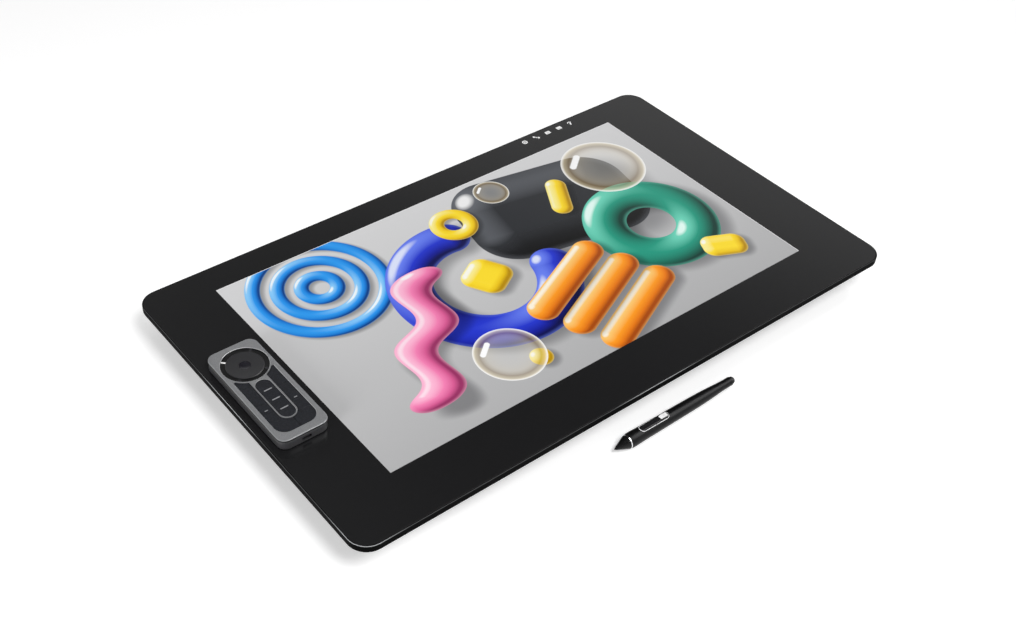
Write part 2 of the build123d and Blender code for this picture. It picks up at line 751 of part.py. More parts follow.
def socket_window(x, width, height):
    """The hole in the bay's wall through which a socket shows."""
    low = BOARD_Z + BOARD_THICKNESS - SLIDE_FIT
    half = width / 2 + SLIDE_FIT
    wall = BAY_WALL_Y - COVER_WALL
    top = low + height + 2 * SLIDE_FIT
    return block(x - half, x + half, wall - OVERRUN, BAY_WALL_Y + OVERRUN, low, top)


def socket_windows():
    windows = [socket_window(x, VIDEO_WIDTH, VIDEO_HEIGHT) for x in VIDEO_X]
    windows += [socket_window(x, USB_A_WIDTH, USB_A_HEIGHT) for x in USB_A_X]
    windows.append(socket_window(USB_C_X, USB_C_WIDTH, USB_C_HEIGHT))
    windows.append(socket_window(INLET_X, INLET_SIDE, INLET_SIDE))
    return windows


def video_sockets():
    return together([socket_shell(x, VIDEO_WIDTH, VIDEO_HEIGHT, SOCKET_TONGUE) for x in VIDEO_X])


def usb_a_sockets():
    return together([socket_shell(x, USB_A_WIDTH, USB_A_HEIGHT, SOCKET_TONGUE) for x in USB_A_X])


def usb_c_socket():
    """The small socket, whose shell has rounded ends."""
    low = BOARD_Z + BOARD_THICKNESS
    outline = SlotOverall(USB_C_WIDTH, USB_C_HEIGHT)
    hole = SlotOverall(USB_C_WIDTH - 2 * SOCKET_WALL, USB_C_HEIGHT - 2 * SOCKET_WALL)
    tongue = Rectangle(USB_C_WIDTH - USB_C_HEIGHT, SOCKET_WALL)
    shell = extrude(outline, SOCKET_DEPTH) - extrude(hole, SOCKET_DEPTH - SOCKET_WALL)
    shell += Pos(0, 0, SOCKET_WALL) * extrude(tongue, SOCKET_DEPTH - SOCKET_WALL)
    return Pos(USB_C_X, socket_front(), low + USB_C_HEIGHT / 2) * Rot(90, 0, 0) * shell


def power_inlet():
    """The round inlet with its centre pin, in a square body."""
    low = BOARD_Z + BOARD_THICKNESS
    front = socket_front()
    half = INLET_SIDE / 2
    body = block(INLET_X - half, INLET_X + half, front - SOCKET_DEPTH, front, low, low + INLET_SIDE)
    place = Pos(INLET_X, front - SOCKET_DEPTH / 2 + SOCKET_WALL, low + half) * Rot(90, 0, 0)
    body -= place * Cylinder(INLET_BORE_RADIUS, SOCKET_DEPTH)
    pin_length = SOCKET_DEPTH - OVERRUN
    pin_place = Pos(INLET_X, front - OVERRUN - pin_length / 2, low + half) * Rot(90, 0, 0)
    return body + pin_place * Cylinder(INLET_PIN_RADIUS, pin_length)


def sink_middle_y():
    return board_back() - SOCKET_DEPTH - SINK_DEPTH / 2 - BOARD_BOSS_INSET


def heat_sink():
    """A plate on the board with two heat pipes and a row of fins."""
    low = BOARD_Z + BOARD_THICKNESS
    y = sink_middle_y()
    half = SINK_LENGTH / 2
    body = block(-half, half, y - SINK_DEPTH / 2, y + SINK_DEPTH / 2, low, low + SINK_PLATE)
    pipe_low = low + SINK_PLATE
    for side in (-1, 1):
        pipe_y = y + side * PIPE_OFFSET
        body += block(
            -half, half, pipe_y - PIPE_WIDTH / 2, pipe_y + PIPE_WIDTH / 2, pipe_low, pipe_low + PIPE_HEIGHT
        )
    pitch = (SINK_LENGTH - FIN_THICKNESS) / (FIN_COUNT - 1)
    for fin in range(FIN_COUNT):
        x = -half + fin * pitch
        body += block(
            x, x + FIN_THICKNESS, y - SINK_DEPTH / 2, y + SINK_DEPTH / 2, low, pipe_low + FIN_HEIGHT
        )
    return body


def fan_housing(side):
    """A square fan body with its bore, three struts and the bearing boss."""
    place = Pos(side * FAN_X, FAN_Y, COVER_FLOOR)
    body = extrude(RectangleRounded(FAN_SIDE, FAN_SIDE, FAN_CORNER), FAN_HEIGHT)
    body -= Pos(0, 0, -OVERRUN) * extrude(Circle(FAN_BORE_RADIUS), FAN_HEIGHT + 2 * OVERRUN)
    reach = FAN_BORE_RADIUS + OVERRUN
    strut = block(0, reach, -FAN_STRUT / 2, FAN_STRUT / 2, 0, FAN_FLOOR)
    for turn in range(FAN_STRUTS):
        body += Rot(0, 0, turn * 360 / FAN_STRUTS) * strut
    body += post(0, 0, 0, FAN_BOSS_HEIGHT, FAN_BOSS_RADIUS)
    body -= post(0, 0, FAN_FLOOR, FAN_BOSS_HEIGHT + OVERRUN, FAN_SPINDLE_RADIUS + RUNNING_FIT)
    return place * body


def fan_rotor(side):
    """A hub with pitched blades and a spindle that runs in the housing's boss."""
    place = Pos(side * FAN_X, FAN_Y, COVER_FLOOR)
    low = FAN_BOSS_HEIGHT + FIT
    hub = post(0, 0, low, low + FAN_BLADE_HEIGHT, FAN_HUB_RADIUS)
    tip = FAN_BORE_RADIUS - FAN_TIP_GAP
    span = tip - FAN_HUB_RADIUS / 2
    middle = low + FAN_BLADE_HEIGHT / 2
    blade = Box(span, FAN_BLADE_THICKNESS, 2 * FAN_BLADE_HEIGHT)
    blade = Pos(tip - span / 2, 0, middle) * Rot(FAN_BLADE_PITCH, 0, 0) * blade
    limit = post(0, 0, low, low + FAN_BLADE_HEIGHT, tip)
    for turn in range(FAN_BLADES):
        hub += limit & (Rot(0, 0, turn * 360 / FAN_BLADES) * blade)
    hub += post(0, 0, FAN_FLOOR + FIT, low + OVERRUN, FAN_SPINDLE_RADIUS)
    return place * hub


# Controls in the back edge


def power_button():
    """An oblong button with a flange behind the wall."""
    outline = SlotOverall(BUTTON_LENGTH, BUTTON_HEIGHT)
    wall = HALF_DEPTH - FRAME_WALL
    front = HALF_DEPTH + BUTTON_PROUD
    body = Pos(BUTTON_X, front, CONTROL_Z) * Rot(90, 0, 0) * extrude(outline, front - wall)
    half = button_half()
    high = BUTTON_HEIGHT / 2 + BUTTON_FLANGE - FIT
    return body + block(
        BUTTON_X - half, BUTTON_X + half, wall - BUTTON_FLANGE_THICKNESS, wall,
        CONTROL_Z - high, CONTROL_Z + high,
    )


def touch_switch():
    """A small knob that slides along its slot."""
    outline = SlotOverall(SWITCH_KNOB, BUTTON_HEIGHT)
    wall = HALF_DEPTH - FRAME_WALL
    front = HALF_DEPTH + BUTTON_PROUD
    x = SWITCH_X - SWITCH_TRAVEL / 2
    body = Pos(x, front, CONTROL_Z) * Rot(90, 0, 0) * extrude(outline, front - wall)
    half = SWITCH_KNOB / 2 + BUTTON_FLANGE
    high = BUTTON_HEIGHT / 2 + BUTTON_FLANGE - FIT
    return body + block(
        x - half, x + half, wall - BUTTON_FLANGE_THICKNESS, wall, CONTROL_Z - high, CONTROL_Z + high
    )


# Key remote, drawn round its own middle with its underside at height zero


def on_bezel(shape):
    """Place a piece of the remote on the left bezel."""
    return Pos(REMOTE_X, REMOTE_Y, TABLET_TOP) * shape


def remote_outline(inset):
    return RectangleRounded(
        REMOTE_WIDTH - 2 * inset, REMOTE_LENGTH - 2 * inset, REMOTE_CORNER - inset
    )


def face_bottom():
    return REMOTE_HEIGHT - FACE_THICKNESS


def key_top():
    return REMOTE_HEIGHT - KEY_SINK


def board_low():
    return REMOTE_PAD + SHELL_FLOOR + REMOTE_BOARD_GAP + REMOTE_MAGNET_THICKNESS


def capsule_outline(grow):
    """The long oval of the four middle keys, grown or shrunk all round."""
    length = CAPSULE_TOP - CAPSULE_BOTTOM + 2 * grow
    width = 2 * (CAPSULE_RADIUS + grow)
    return Pos(0, (CAPSULE_TOP + CAPSULE_BOTTOM) / 2) * Rot(0, 0, 90) * SlotOverall(length, width)


def ring_circle(radius):
    return Pos(0, RING_CENTRE) * Circle(radius)


def field_outline(inset):
    """The dark U beside and below the capsule. A web joins the ring's rim to the capsule's."""
    half = FIELD_HALF - inset
    low = FIELD_BOTTOM + inset
    high = FIELD_TOP - inset
    middle = Pos(0, (low + high) / 2)
    field = middle * Rectangle(2 * half, high - low)
    corners = field.vertices().sort_by(Axis.Y)[:2]
    field = fillet(corners, FIELD_CORNER - inset)
    web_half = CAPSULE_RADIUS + CAPSULE_RIM + inset
    web_low = CAPSULE_TOP - CAPSULE_RADIUS
    field -= Pos(0, (web_low + high) / 2) * Rectangle(2 * web_half, high - web_low)
    field -= ring_circle(RING_RADIUS + RING_RIM + inset)
    return field - capsule_outline(CAPSULE_RIM + inset)


def remote_faceplate():
    """The grey plate, cut for the ring, the capsule and the two key columns."""
    plate = slab(remote_outline(0), face_bottom(), REMOTE_HEIGHT)
    plate = fillet(plate.faces().sort_by(Axis.Z)[-1].edges(), FACE_EDGE_ROUND)
    low = face_bottom() - OVERRUN
    high = REMOTE_HEIGHT + OVERRUN
    plate -= slab(ring_circle(RING_RADIUS), low, high)
    plate -= slab(capsule_outline(0), low, high)
    return plate - slab(field_outline(0), low, high)


def shell_form(inset, low, high):
    """The shell's tapered form between two heights."""
    top = face_bottom()
    rise = (low - REMOTE_PAD) / (top - REMOTE_PAD)
    bottom_inset = SHELL_LIP + SHELL_TUCK * (1 - rise) + inset
    rise = (high - REMOTE_PAD) / (top - REMOTE_PAD)
    top_inset = SHELL_LIP + SHELL_TUCK * (1 - rise) + inset
    return loft(
        [Pos(0, 0, low) * remote_outline(bottom_inset), Pos(0, 0, high) * remote_outline(top_inset)],
        ruled=True,
    )


def slider_window(clearance):
    """The slot of the remote's power slider, in its right wall."""
    low = REMOTE_PAD + SHELL_FLOOR + SLIDER_HEIGHT - clearance
    high = low + SLIDER_HEIGHT + 2 * clearance
    y_low = SLIDER_Y - SLIDER_LENGTH / 2 - clearance
    y_high = SLIDER_Y + SLIDER_LENGTH / 2 + SLIDER_TRAVEL + clearance
    inner = REMOTE_WIDTH / 2 - SHELL_LIP - SHELL_TUCK - SHELL_WALL - OVERRUN
    return block(inner, REMOTE_WIDTH / 2, y_low, y_high, low, high)


def pad_places():
    reach = REMOTE_LENGTH / 2 - SHELL_LIP - SHELL_TUCK - REMOTE_CORNER
    return [-reach, reach]


def remote_shell():
    """The dark lower shell, with its charging slot and slider slot."""
    top = face_bottom()
    body = shell_form(0, REMOTE_PAD, top)
    body -= shell_form(SHELL_WALL, REMOTE_PAD + SHELL_FLOOR, top)
    body -= slider_window(SLIDE_FIT)
    charge = Pos(0, 0, top / 2) * Rot(90, 0, 0) * extrude(SlotOverall(CHARGE_WIDTH, CHARGE_HEIGHT), REMOTE_LENGTH)
    body -= charge
    for y in pad_places():
        seat = Pos(0, y) * pad_outline(RUNNING_FIT)
        body -= slab(seat, REMOTE_PAD - OVERRUN, REMOTE_PAD + REMOTE_PAD_SEAT)
    ledge = board_low()
    for side_x in (-1, 1):
        for side_y in (-1, 1):
            x = side_x * (REMOTE_WIDTH / 2 - SHELL_TUCK - REMOTE_CORNER)
            y = side_y * (REMOTE_LENGTH / 2 - SHELL_TUCK - REMOTE_CORNER)
            body += post(x, y, REMOTE_PAD + SHELL_FLOOR, ledge, DOME_RADIUS)
    return body


def pad_outline(clearance):
    return SlotOverall(REMOTE_PAD_LENGTH + 2 * clearance, REMOTE_PAD_WIDTH + 2 * clearance)


def remote_pads():
    """Two rubber pads under the remote, let into its shell."""
    return together(
        [slab(Pos(0, y) * pad_outline(0), 0, REMOTE_PAD + REMOTE_PAD_SEAT) for y in pad_places()]
    )


def key_bands():
    """Lower and upper edges of the rows of a side column. The lowest row is the deeper one."""
    last = FIELD_BOTTOM + END_KEY_DEPTH
    rows = SIDE_KEY_COUNT - 1
    pitch = (FIELD_TOP - last) / rows
    bands = [(FIELD_TOP - (row + 1) * pitch, FIELD_TOP - row * pitch) for row in range(rows)]
    return bands + [(FIELD_BOTTOM, last)]


def key_solid(outline):
    """A key cap: its outline raised to just under the plate's face, with a soft edge."""
    cap = slab(outline, key_top() - KEY_DEPTH, key_top())
    return fillet(cap.faces().sort_by(Axis.Z)[-1].edges(), KEY_ROUND)


def side_key(side, row):
    """One key of a side column. The lowest one turns in under the capsule."""
    low, high = key_bands()[row]
    gap = KEY_GAP / 2
    half = FIELD_HALF / 2
    x = side * (half + gap)
    y_low = low + gap if row < SIDE_KEY_COUNT - 1 else low - OVERRUN
    y_high = high - gap if row else high + OVERRUN
    band = Pos(x, (y_low + y_high) / 2) * Rectangle(2 * half, y_high - y_low)
    key = key_solid(field_outline(KEY_GAP) & band)
    if row == TACTILE_ROW:
        x_mark = side * (FIELD_HALF + CAPSULE_RADIUS + CAPSULE_RIM) / 2
        mark = SlotOverall(DOT_LENGTH, DOT_WIDTH)
        place = Pos(x_mark, low + TACTILE_SHARE * (high - low), key_top() - KEY_ROUND)
        key += place * extrude(mark, KEY_ROUND + BAR_RISE)
    return key


def capsule_key(row):
    """One of the four keys in the capsule. All but the first carry a raised bar."""
    pitch = (CAPSULE_TOP - CAPSULE_BOTTOM) / KEY_COUNT
    high = CAPSULE_TOP - row * pitch
    low = high - pitch
    gap = KEY_GAP / 2
    y_low = low + gap if row < KEY_COUNT - 1 else low - OVERRUN
    y_high = high - gap if row else high + OVERRUN
    band = Pos(0, (y_low + y_high) / 2) * Rectangle(2 * CAPSULE_RADIUS, y_high - y_low)
    key = key_solid(capsule_outline(-KEY_GAP) & band)
    if row:
        place = Pos(0, high - BAR_WIDTH, key_top() - KEY_ROUND)
        key += place * extrude(SlotOverall(BAR_LENGTH, BAR_WIDTH), KEY_ROUND + BAR_RISE)
    return key


def indicator_marks():
    """The short radial marks in the channel round the disc."""
    inner = DISC_RADIUS + SLIDE_FIT
    outer = RING_RADIUS - 2 * SLIDE_FIT
    low = face_bottom() - RING_THICKNESS / 2
    half = MARK_WIDTH / 2
    bar = block(inner, outer, -half, half, low, channel_height() + MARK_RISE)
    return [
        Pos(0, RING_CENTRE) * Rot(0, 0, MARK_ANGLE + turn * 360 / MARK_COUNT) * bar
        for turn in range(MARK_COUNT)
    ]


def channel_height():
    return REMOTE_HEIGHT - CHANNEL_DROP


def dish(radius, depth, top):
    """The ball that hollows a round face of that radius to that depth, at the ring's centre."""
    ball = (radius**2 + depth**2) / (2 * depth)
    return Pos(0, RING_CENTRE, top - depth + ball) * Sphere(ball)


def remote_ring():
    """The fixed touch ring: a channel round a dished disc with a sloping edge."""
    low = face_bottom() - RING_THICKNESS / 2
    top = channel_height()
    high = top + DISC_RISE
    disc = post(0, RING_CENTRE, low, high, DISC_RADIUS)
    disc = chamfer(disc.faces().sort_by(Axis.Z)[-1].edges(), DISC_RISE / 2)
    disc -= dish(DISC_RADIUS - DISC_RISE / 2, DISC_DISH, high)
    ring = post(0, RING_CENTRE, low, top, RING_RADIUS - SLIDE_FIT) + disc
    ring -= post(0, RING_CENTRE, low - OVERRUN, high + OVERRUN, RING_BUTTON_RADIUS + SLIDE_FIT)
    return ring - indicator_marks()


def ring_button():
    """The centre button, dished like the disc round it."""
    top = channel_height() + DISC_RISE - DISC_DISH
    low = key_top() - KEY_DEPTH
    button = post(0, RING_CENTRE, low, top, RING_BUTTON_RADIUS)
    return button - dish(RING_BUTTON_RADIUS, RING_BUTTON_DISH, top)


def key_middles():
    """Where each key presses its dome switch."""
    pitch = (CAPSULE_TOP - CAPSULE_BOTTOM) / KEY_COUNT
    middles = [(0, RING_CENTRE)]
    middles += [(0, CAPSULE_TOP - (row + 1 / 2) * pitch) for row in range(KEY_COUNT)]
    column = (FIELD_HALF + CAPSULE_RADIUS + CAPSULE_RIM) / 2
    for low, high in key_bands():
        middles += [(side * column, (low + high) / 2) for side in (-1, 1)]
    return middles


def remote_board():
    """The remote's board with one dome switch under each key."""
    low = board_low()
    high = low + REMOTE_BOARD_THICKNESS
    inset = SHELL_LIP + SHELL_TUCK + SHELL_WALL
    body = slab(remote_outline(inset), low, high)
    dome_top = key_top() - KEY_DEPTH - KEY_TRAVEL - DOME_GAP
    body += [post(x, y, high, dome_top, DOME_RADIUS) for x, y in key_middles()]
    return body


def remote_battery():
    """The flat cell on the shell's floor."""
    low = REMOTE_PAD + SHELL_FLOOR
    half_x = BATTERY_WIDTH / 2
    half_y = BATTERY_LENGTH / 2
    return block(-half_x, half_x, -half_y, half_y, low, board_low() - FIT)


def remote_magnets():
    low = REMOTE_PAD + SHELL_FLOOR
    half = REMOTE_MAGNET_SPREAD / 2
    return together(
        [post(0, end * half, low, low + REMOTE_MAGNET_THICKNESS, REMOTE_MAGNET_RADIUS) for end in (-1, 1)]
    )


def remote_power_slider():
    """The small slider in the right wall, with a flange inside."""
    low = REMOTE_PAD + SHELL_FLOOR + SLIDER_HEIGHT
    high = low + SLIDER_HEIGHT
    y_low = SLIDER_Y - SLIDER_LENGTH / 2
    y_high = y_low + SLIDER_LENGTH
    middle_share = ((low + high) / 2 - REMOTE_PAD) / (face_bottom() - REMOTE_PAD)
    wall = REMOTE_WIDTH / 2 - SHELL_LIP - SHELL_TUCK * (1 - middle_share)
    return block(wall - SHELL_WALL - SLIDER_FLANGE, wall + SLIDER_PROUD, y_low, y_high, low, high)


# Pen, drawn along X with its tip at zero and its axis at height zero


def on_table(shape):
    """Lay a piece of the pen on the table in front of the tablet."""
    return Pos(PEN_TIP_X, PEN_AXIS_Y, PEN_RADIUS) * shape


def turned(profile):
    """A closed profile of (along, radius) pieces, turned about the pen's axis."""
    return revolve(Plane.XZ * make_face(profile), axis=Axis.X)


def rod(start, end, radius):
    """A plain round length along the pen's axis."""
    return Pos((start + end) / 2, 0, 0) * Rot(0, 90, 0) * Cylinder(radius, end - start)


def pen_nib():
    """The nib, with its rounded point."""
    body = rod(0, NIB_LENGTH, NIB_RADIUS)
    return fillet(body.edges().sort_by(Axis.X)[0], NIB_RADIUS * TIP_ROUND_SHARE)


def pen_nose():
    """The cone that screws onto the barrel and guides the nib."""
    bore = NIB_RADIUS + RUNNING_FIT
    profile = [
        Line((NIB_PROUD, bore), (NIB_PROUD, NOSE_TIP_RADIUS)),
        Line((NIB_PROUD, NOSE_TIP_RADIUS), (NOSE_LENGTH, NOSE_BASE_RADIUS)),
        Line((NOSE_LENGTH, NOSE_BASE_RADIUS), (NOSE_LENGTH, bore)),
        Line((NOSE_LENGTH, bore), (NIB_PROUD, bore)),
    ]
    return turned(profile)


def pen_ring():
    start = NOSE_LENGTH
    end = NOSE_LENGTH + RING_BAND
    band = rod(start, end, RING_BAND_RADIUS)
    return band - rod(start - OVERRUN, end + OVERRUN, BARREL_BORE_RADIUS)


def barrel_end():
    return PEN_LENGTH - ERASER_PROUD


def rocker_form(grow, low, high):
    """The rocker's oblong between two heights, grown all round."""
    outline = SlotOverall(ROCKER_LENGTH + 2 * grow, ROCKER_WIDTH + 2 * grow)
    return Pos(ROCKER_START + ROCKER_LENGTH / 2, 0, low) * extrude(outline, high - low)


def rocker_axle(clearance):
    """The cross axle that the rocker swings on."""
    length = ROCKER_WIDTH + 2 * ROCKER_AXLE_REACH + 2 * clearance
    place = Pos(ROCKER_START + ROCKER_LENGTH / 2, 0, rocker_axis_height())
    return place * Rot(90, 0, 0) * Cylinder(ROCKER_AXLE_RADIUS + clearance, length)


def rocker_top():
    return PEN_RADIUS * ROCKER_BED_SHARE + ROCKER_PROUD


def rocker_axis_height():
    return rocker_top() - ROCKER_PROUD - ROCKER_DEPTH / 2


def rocker_room():
    """How far an end of the rocker dips at full swing."""
    return ROCKER_LENGTH / 2 * math.sin(math.radians(ROCKER_SWING))


def pen_barrel():
    """The swelling, tapering barrel with its bore and the rocker's bed."""
    start = NOSE_LENGTH + RING_BAND
    end = barrel_end()
    points = [(along * PEN_LENGTH, share * PEN_RADIUS) for along, share in BARREL_POINT_SHARES]
    outline = Spline([(start, RING_BAND_RADIUS)] + points + [(end, PEN_END_RADIUS)])
    profile = [
        outline,
        Line((end, PEN_END_RADIUS), (end, 0)),
        Line((end, 0), (start, 0)),
        Line((start, 0), (start, RING_BAND_RADIUS)),
    ]
    body = turned(profile)
    body -= rod(start - OVERRUN, start + CORE_LENGTH + 2 * FIT, BARREL_BORE_RADIUS)
    body -= rod(end - ERASER_STEM - FIT, end + OVERRUN, ERASER_STEM_RADIUS + RUNNING_FIT)
    body -= rod(end - 2 * ERASER_TRAVEL - FIT, end + OVERRUN, ERASER_RADIUS + SLIDE_FIT)
    bed = rocker_top() - ROCKER_PROUD - ROCKER_DEPTH - rocker_room() - FIT
    body -= rocker_form(ROCKER_GAP, bed, PEN_RADIUS + OVERRUN)
    return body - rocker_axle(RUNNING_FIT)


def pen_switch():
    """The two-way rocker, crowned along its top."""
    low = rocker_top() - ROCKER_PROUD - ROCKER_DEPTH
    body = rocker_form(0, low, rocker_top())
    body = fillet(body.faces().sort_by(Axis.Z)[-1].edges(), ROCKER_PROUD * TIP_ROUND_SHARE)
    return body + rocker_axle(0)


def pen_eraser():
    """The domed eraser on its stem."""
    start = barrel_end() - ERASER_TRAVEL
    dome = rod(start, PEN_LENGTH, ERASER_RADIUS)
    dome = fillet(dome.edges().sort_by(Axis.X)[-1], ERASER_RADIUS * TIP_ROUND_SHARE)
    return dome + rod(barrel_end() - ERASER_STEM + ERASER_TRAVEL, start + OVERRUN, ERASER_STEM_RADIUS)


def pen_core():
    """The inner board and the coil near the tip, in the barrel's bore."""
    start = NOSE_LENGTH + NIB_TRAVEL + FIT
    coil = rod(start, start + COIL_LENGTH, COIL_RADIUS)
    core = coil + rod(start + COIL_LENGTH, start + CORE_LENGTH, CORE_RADIUS * CORE_SLIM_SHARE)
    return core


def main():
    write("front_glass", front_glass())
    write("mid_frame", mid_frame())
    write("lcd_panel", lcd_panel())
    write("light_guide", light_guide())
    write("backlight_tray", backlight_tray())
    write("digitizer_board", digitizer_board())
    write("bezel_magnets", bezel_magnets())
    write("rear_cover", rear_cover())
    write("rear_screws", rear_screws())
    write("rest_strips", rest_strips())
    write("arm_plate", arm_plate())
    write("leg_pins", leg_pins())
    for name, side in (("left", -1), ("right", 1)):
        write(f"leg_{name}", leg(side))
        write(f"leg_pad_{name}", leg_pad(side))
        write(f"fan_rotor_{name}", fan_rotor(side))
    write("fan_housings", together([fan_housing(-1), fan_housing(1)]))
    write("main_board", main_board())
    write("heat_sink", heat_sink())
    write("power_inlet", power_inlet())
    write("video_sockets", video_sockets())
    write("usb_c_socket", usb_c_socket())
    write("usb_a_sockets", usb_a_sockets())
    write("power_button", power_button())
    write("touch_switch", touch_switch())
    write("remote_shell", on_bezel(remote_shell()))
    write("remote_faceplate", on_bezel(remote_faceplate()))
    write("remote_ring", on_bezel(remote_ring()))
    write("remote_indicators", on_bezel(together(indicator_marks())))
    write("remote_ring_button", on_bezel(ring_button()))
    write("remote_board", on_bezel(remote_board()))
    write("remote_battery", on_bezel(remote_battery()))
    write("remote_magnets", on_bezel(remote_magnets()))
    write("remote_pads", on_bezel(remote_pads()))
    write("remote_power_slider", on_bezel(remote_power_slider()))
    for row in range(KEY_COUNT):
        write(f"remote_key_{row + 1}", on_bezel(capsule_key(row)))
    for name, side in (("left", -1), ("right", 1)):
        for row in range(SIDE_KEY_COUNT):
            write(f"remote_{name}_key_{row + 1}", on_bezel(side_key(side, row)))
    write("pen_nib", on_table(pen_nib()))
    write("pen_nose", on_table(pen_nose()))
    write("pen_ring", on_table(pen_ring()))
    write("pen_barrel", on_table(pen_barrel()))
    write("pen_switch", on_table(pen_switch()))
    write("pen_eraser", on_table(pen_eraser()))
    write("pen_core", on_table(pen_core()))


main()
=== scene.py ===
# %% [markdown]
# A pen display, dressed in Blender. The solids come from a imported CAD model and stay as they
# are. This lesson adds what solids can't give: the camera, the light, a finish for every
# surface, the picture on the screen and the fine trims that catch the light.

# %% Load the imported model
import math

import bpy
import numpy as np
from mathutils import Matrix, Vector


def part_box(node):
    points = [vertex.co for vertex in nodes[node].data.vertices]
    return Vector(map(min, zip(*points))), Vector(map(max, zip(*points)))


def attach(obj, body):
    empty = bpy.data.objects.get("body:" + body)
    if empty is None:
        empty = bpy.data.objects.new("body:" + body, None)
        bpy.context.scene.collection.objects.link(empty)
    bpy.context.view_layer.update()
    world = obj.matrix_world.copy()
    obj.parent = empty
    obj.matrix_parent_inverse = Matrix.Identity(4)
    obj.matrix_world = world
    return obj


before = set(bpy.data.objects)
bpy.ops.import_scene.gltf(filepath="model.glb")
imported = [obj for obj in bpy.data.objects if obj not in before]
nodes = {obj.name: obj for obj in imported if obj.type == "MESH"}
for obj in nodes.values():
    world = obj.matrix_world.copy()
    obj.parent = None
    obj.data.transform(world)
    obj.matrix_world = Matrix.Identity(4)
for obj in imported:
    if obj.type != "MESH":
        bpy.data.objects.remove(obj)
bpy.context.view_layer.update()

# %% [markdown]
# Sizes are easier to read in millimetres, while Blender works in metres, so one factor turns
# one into the other. The middle of the picture is the place from which everything on the
# glass is measured. Its height is the top of the glass, which the frame gives.

# %% Sizes that the rest is measured from
MM = 0.001
GLASS_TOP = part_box("front_glass")[1].z
PICTURE_SIZE = np.array([522.0, 293.6]) * MM
PICTURE_MIDDLE = np.array([0.0, 20.65]) * MM
REMOTE_LOW, REMOTE_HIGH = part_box("remote_faceplate")
REMOTE_MIDDLE = np.array((REMOTE_LOW + REMOTE_HIGH) / 2)[:2]
RING_MIDDLE = REMOTE_MIDDLE + np.array([0.0, 37.0]) * MM
FACE_TOP = REMOTE_HIGH.z
print("top of the glass (mm):", round(GLASS_TOP / MM, 2), " face of the remote:", round(FACE_TOP / MM, 2))

# %% [markdown]
# The camera comes first, because it decides how large every detail is. The four corners of
# the picture in the photograph and its real size are enough to work out where the camera
# stood: its place, the three directions of its body and its focal length. The view is
# shifted a little to the side, because the photograph is a crop of a wider frame.

# %% Camera at the photograph's place
PHOTO_WIDTH, PHOTO_HEIGHT = 1016, 640
FOCAL_PIXELS = 1316.91
AXIS_PIXEL = (462.62, 317.79)
SENSOR_WIDTH = 36.0
CAMERA_PLACE = (-0.6982, -0.73695, 0.8916)
scene = bpy.context.scene
right = np.array([0.78824, -0.61430, 0.03633])
down = np.array([-0.38670, -0.54039, -0.74729])
right /= np.linalg.norm(right)
down -= right * right.dot(down)
down /= np.linalg.norm(down)
forward = np.cross(right, down)

camera_data = bpy.data.cameras.new("photo_camera")
camera_data.sensor_width = SENSOR_WIDTH
camera_data.lens = FOCAL_PIXELS * SENSOR_WIDTH / PHOTO_WIDTH
camera_data.shift_x = (PHOTO_WIDTH / 2 - AXIS_PIXEL[0]) / PHOTO_WIDTH
camera_data.shift_y = (AXIS_PIXEL[1] - PHOTO_HEIGHT / 2) / PHOTO_WIDTH
camera_data.clip_start, camera_data.clip_end = 0.05, 60
camera = bpy.data.objects.new("photo_camera", camera_data)
turn = Matrix([[right[i], -down[i], -forward[i]] for i in range(3)]).to_4x4()
camera.matrix_world = Matrix.Translation(CAMERA_PLACE) @ turn
scene.collection.objects.link(camera)
scene.camera = camera
print("lens:", round(camera_data.lens, 2), "mm, handed:", round(turn.determinant(), 3))

# %% [markdown]
# Colours are written as they look on a screen, in sRGB hex. The renderer works with linear
# light, so one function turns the hex value into three linear numbers. Another function adds
# a node to a material, sets it and links it, which keeps each material short.

# %% Small helpers for materials
def linear(code, alpha=1.0):
    """sRGB hex to linear: below 0.04045 divide by 12.92, else ((c + 0.055) / 1.055) to the 2.4."""
    c = np.array([int(code[i:i + 2], 16) for i in (1, 3, 5)]) / 255
    c = np.where(c <= 0.04045, c / 12.92, ((c + 0.055) / 1.055) ** 2.4)
    return (*c.tolist(), alpha)


def add(tree, kind, inputs=None, stops=(), **settings):
    """Add a node and set it. An input takes a value, or is linked to a socket or a node's result."""
    node = tree.nodes.new("ShaderNode" + kind)
    for name, value in settings.items():
        setattr(node, name, value)
    for key, value in (inputs or {}).items():
        if isinstance(value, bpy.types.Node):
            value = next(socket for socket in value.outputs if socket.enabled)
        if isinstance(value, bpy.types.NodeSocket):
            tree.links.new(value, node.inputs[key])
        else:
            node.inputs[key].default_value = value
    if stops:
        elements = node.color_ramp.elements
        for element, (place, colour) in zip(elements[:], (stops[0], stops[-1])):
            element.position, element.color = place, colour
        for place, colour in stops[1:-1]:
            elements.new(place).color = colour
    return node


def surface(name, base, roughness, metallic=0.0, **more):
    """A material with one Principled shader, whose uniform values sit on its own sockets."""
    material = bpy.data.materials.new(name)
    material.use_nodes = True
    shader = material.node_tree.nodes["Principled BSDF"]
    shader.inputs["Base Color"].default_value = linear(base)
    shader.inputs["Roughness"].default_value = roughness
    shader.inputs["Metallic"].default_value = metallic
    for key, value in more.items():
        shader.inputs[key.replace("_", " ")].default_value = value
    return material, material.node_tree, shader


def places(tree):
    """Object coordinates: metres in the part's own frame, which don't slide when a piece moves."""
    return add(tree, "TexCoord").outputs["Object"]


print("glass black as linear light:", [round(v, 4) for v in linear("#18181a")[:3]])

# %% [markdown]
# The floor and the far background are plain white, as in a product photograph. The floor is
# a pale matte surface that takes the shadow, and where the camera or a shiny surface looks at
# it, a little light of its own lifts it to white. No extra light falls on the object.

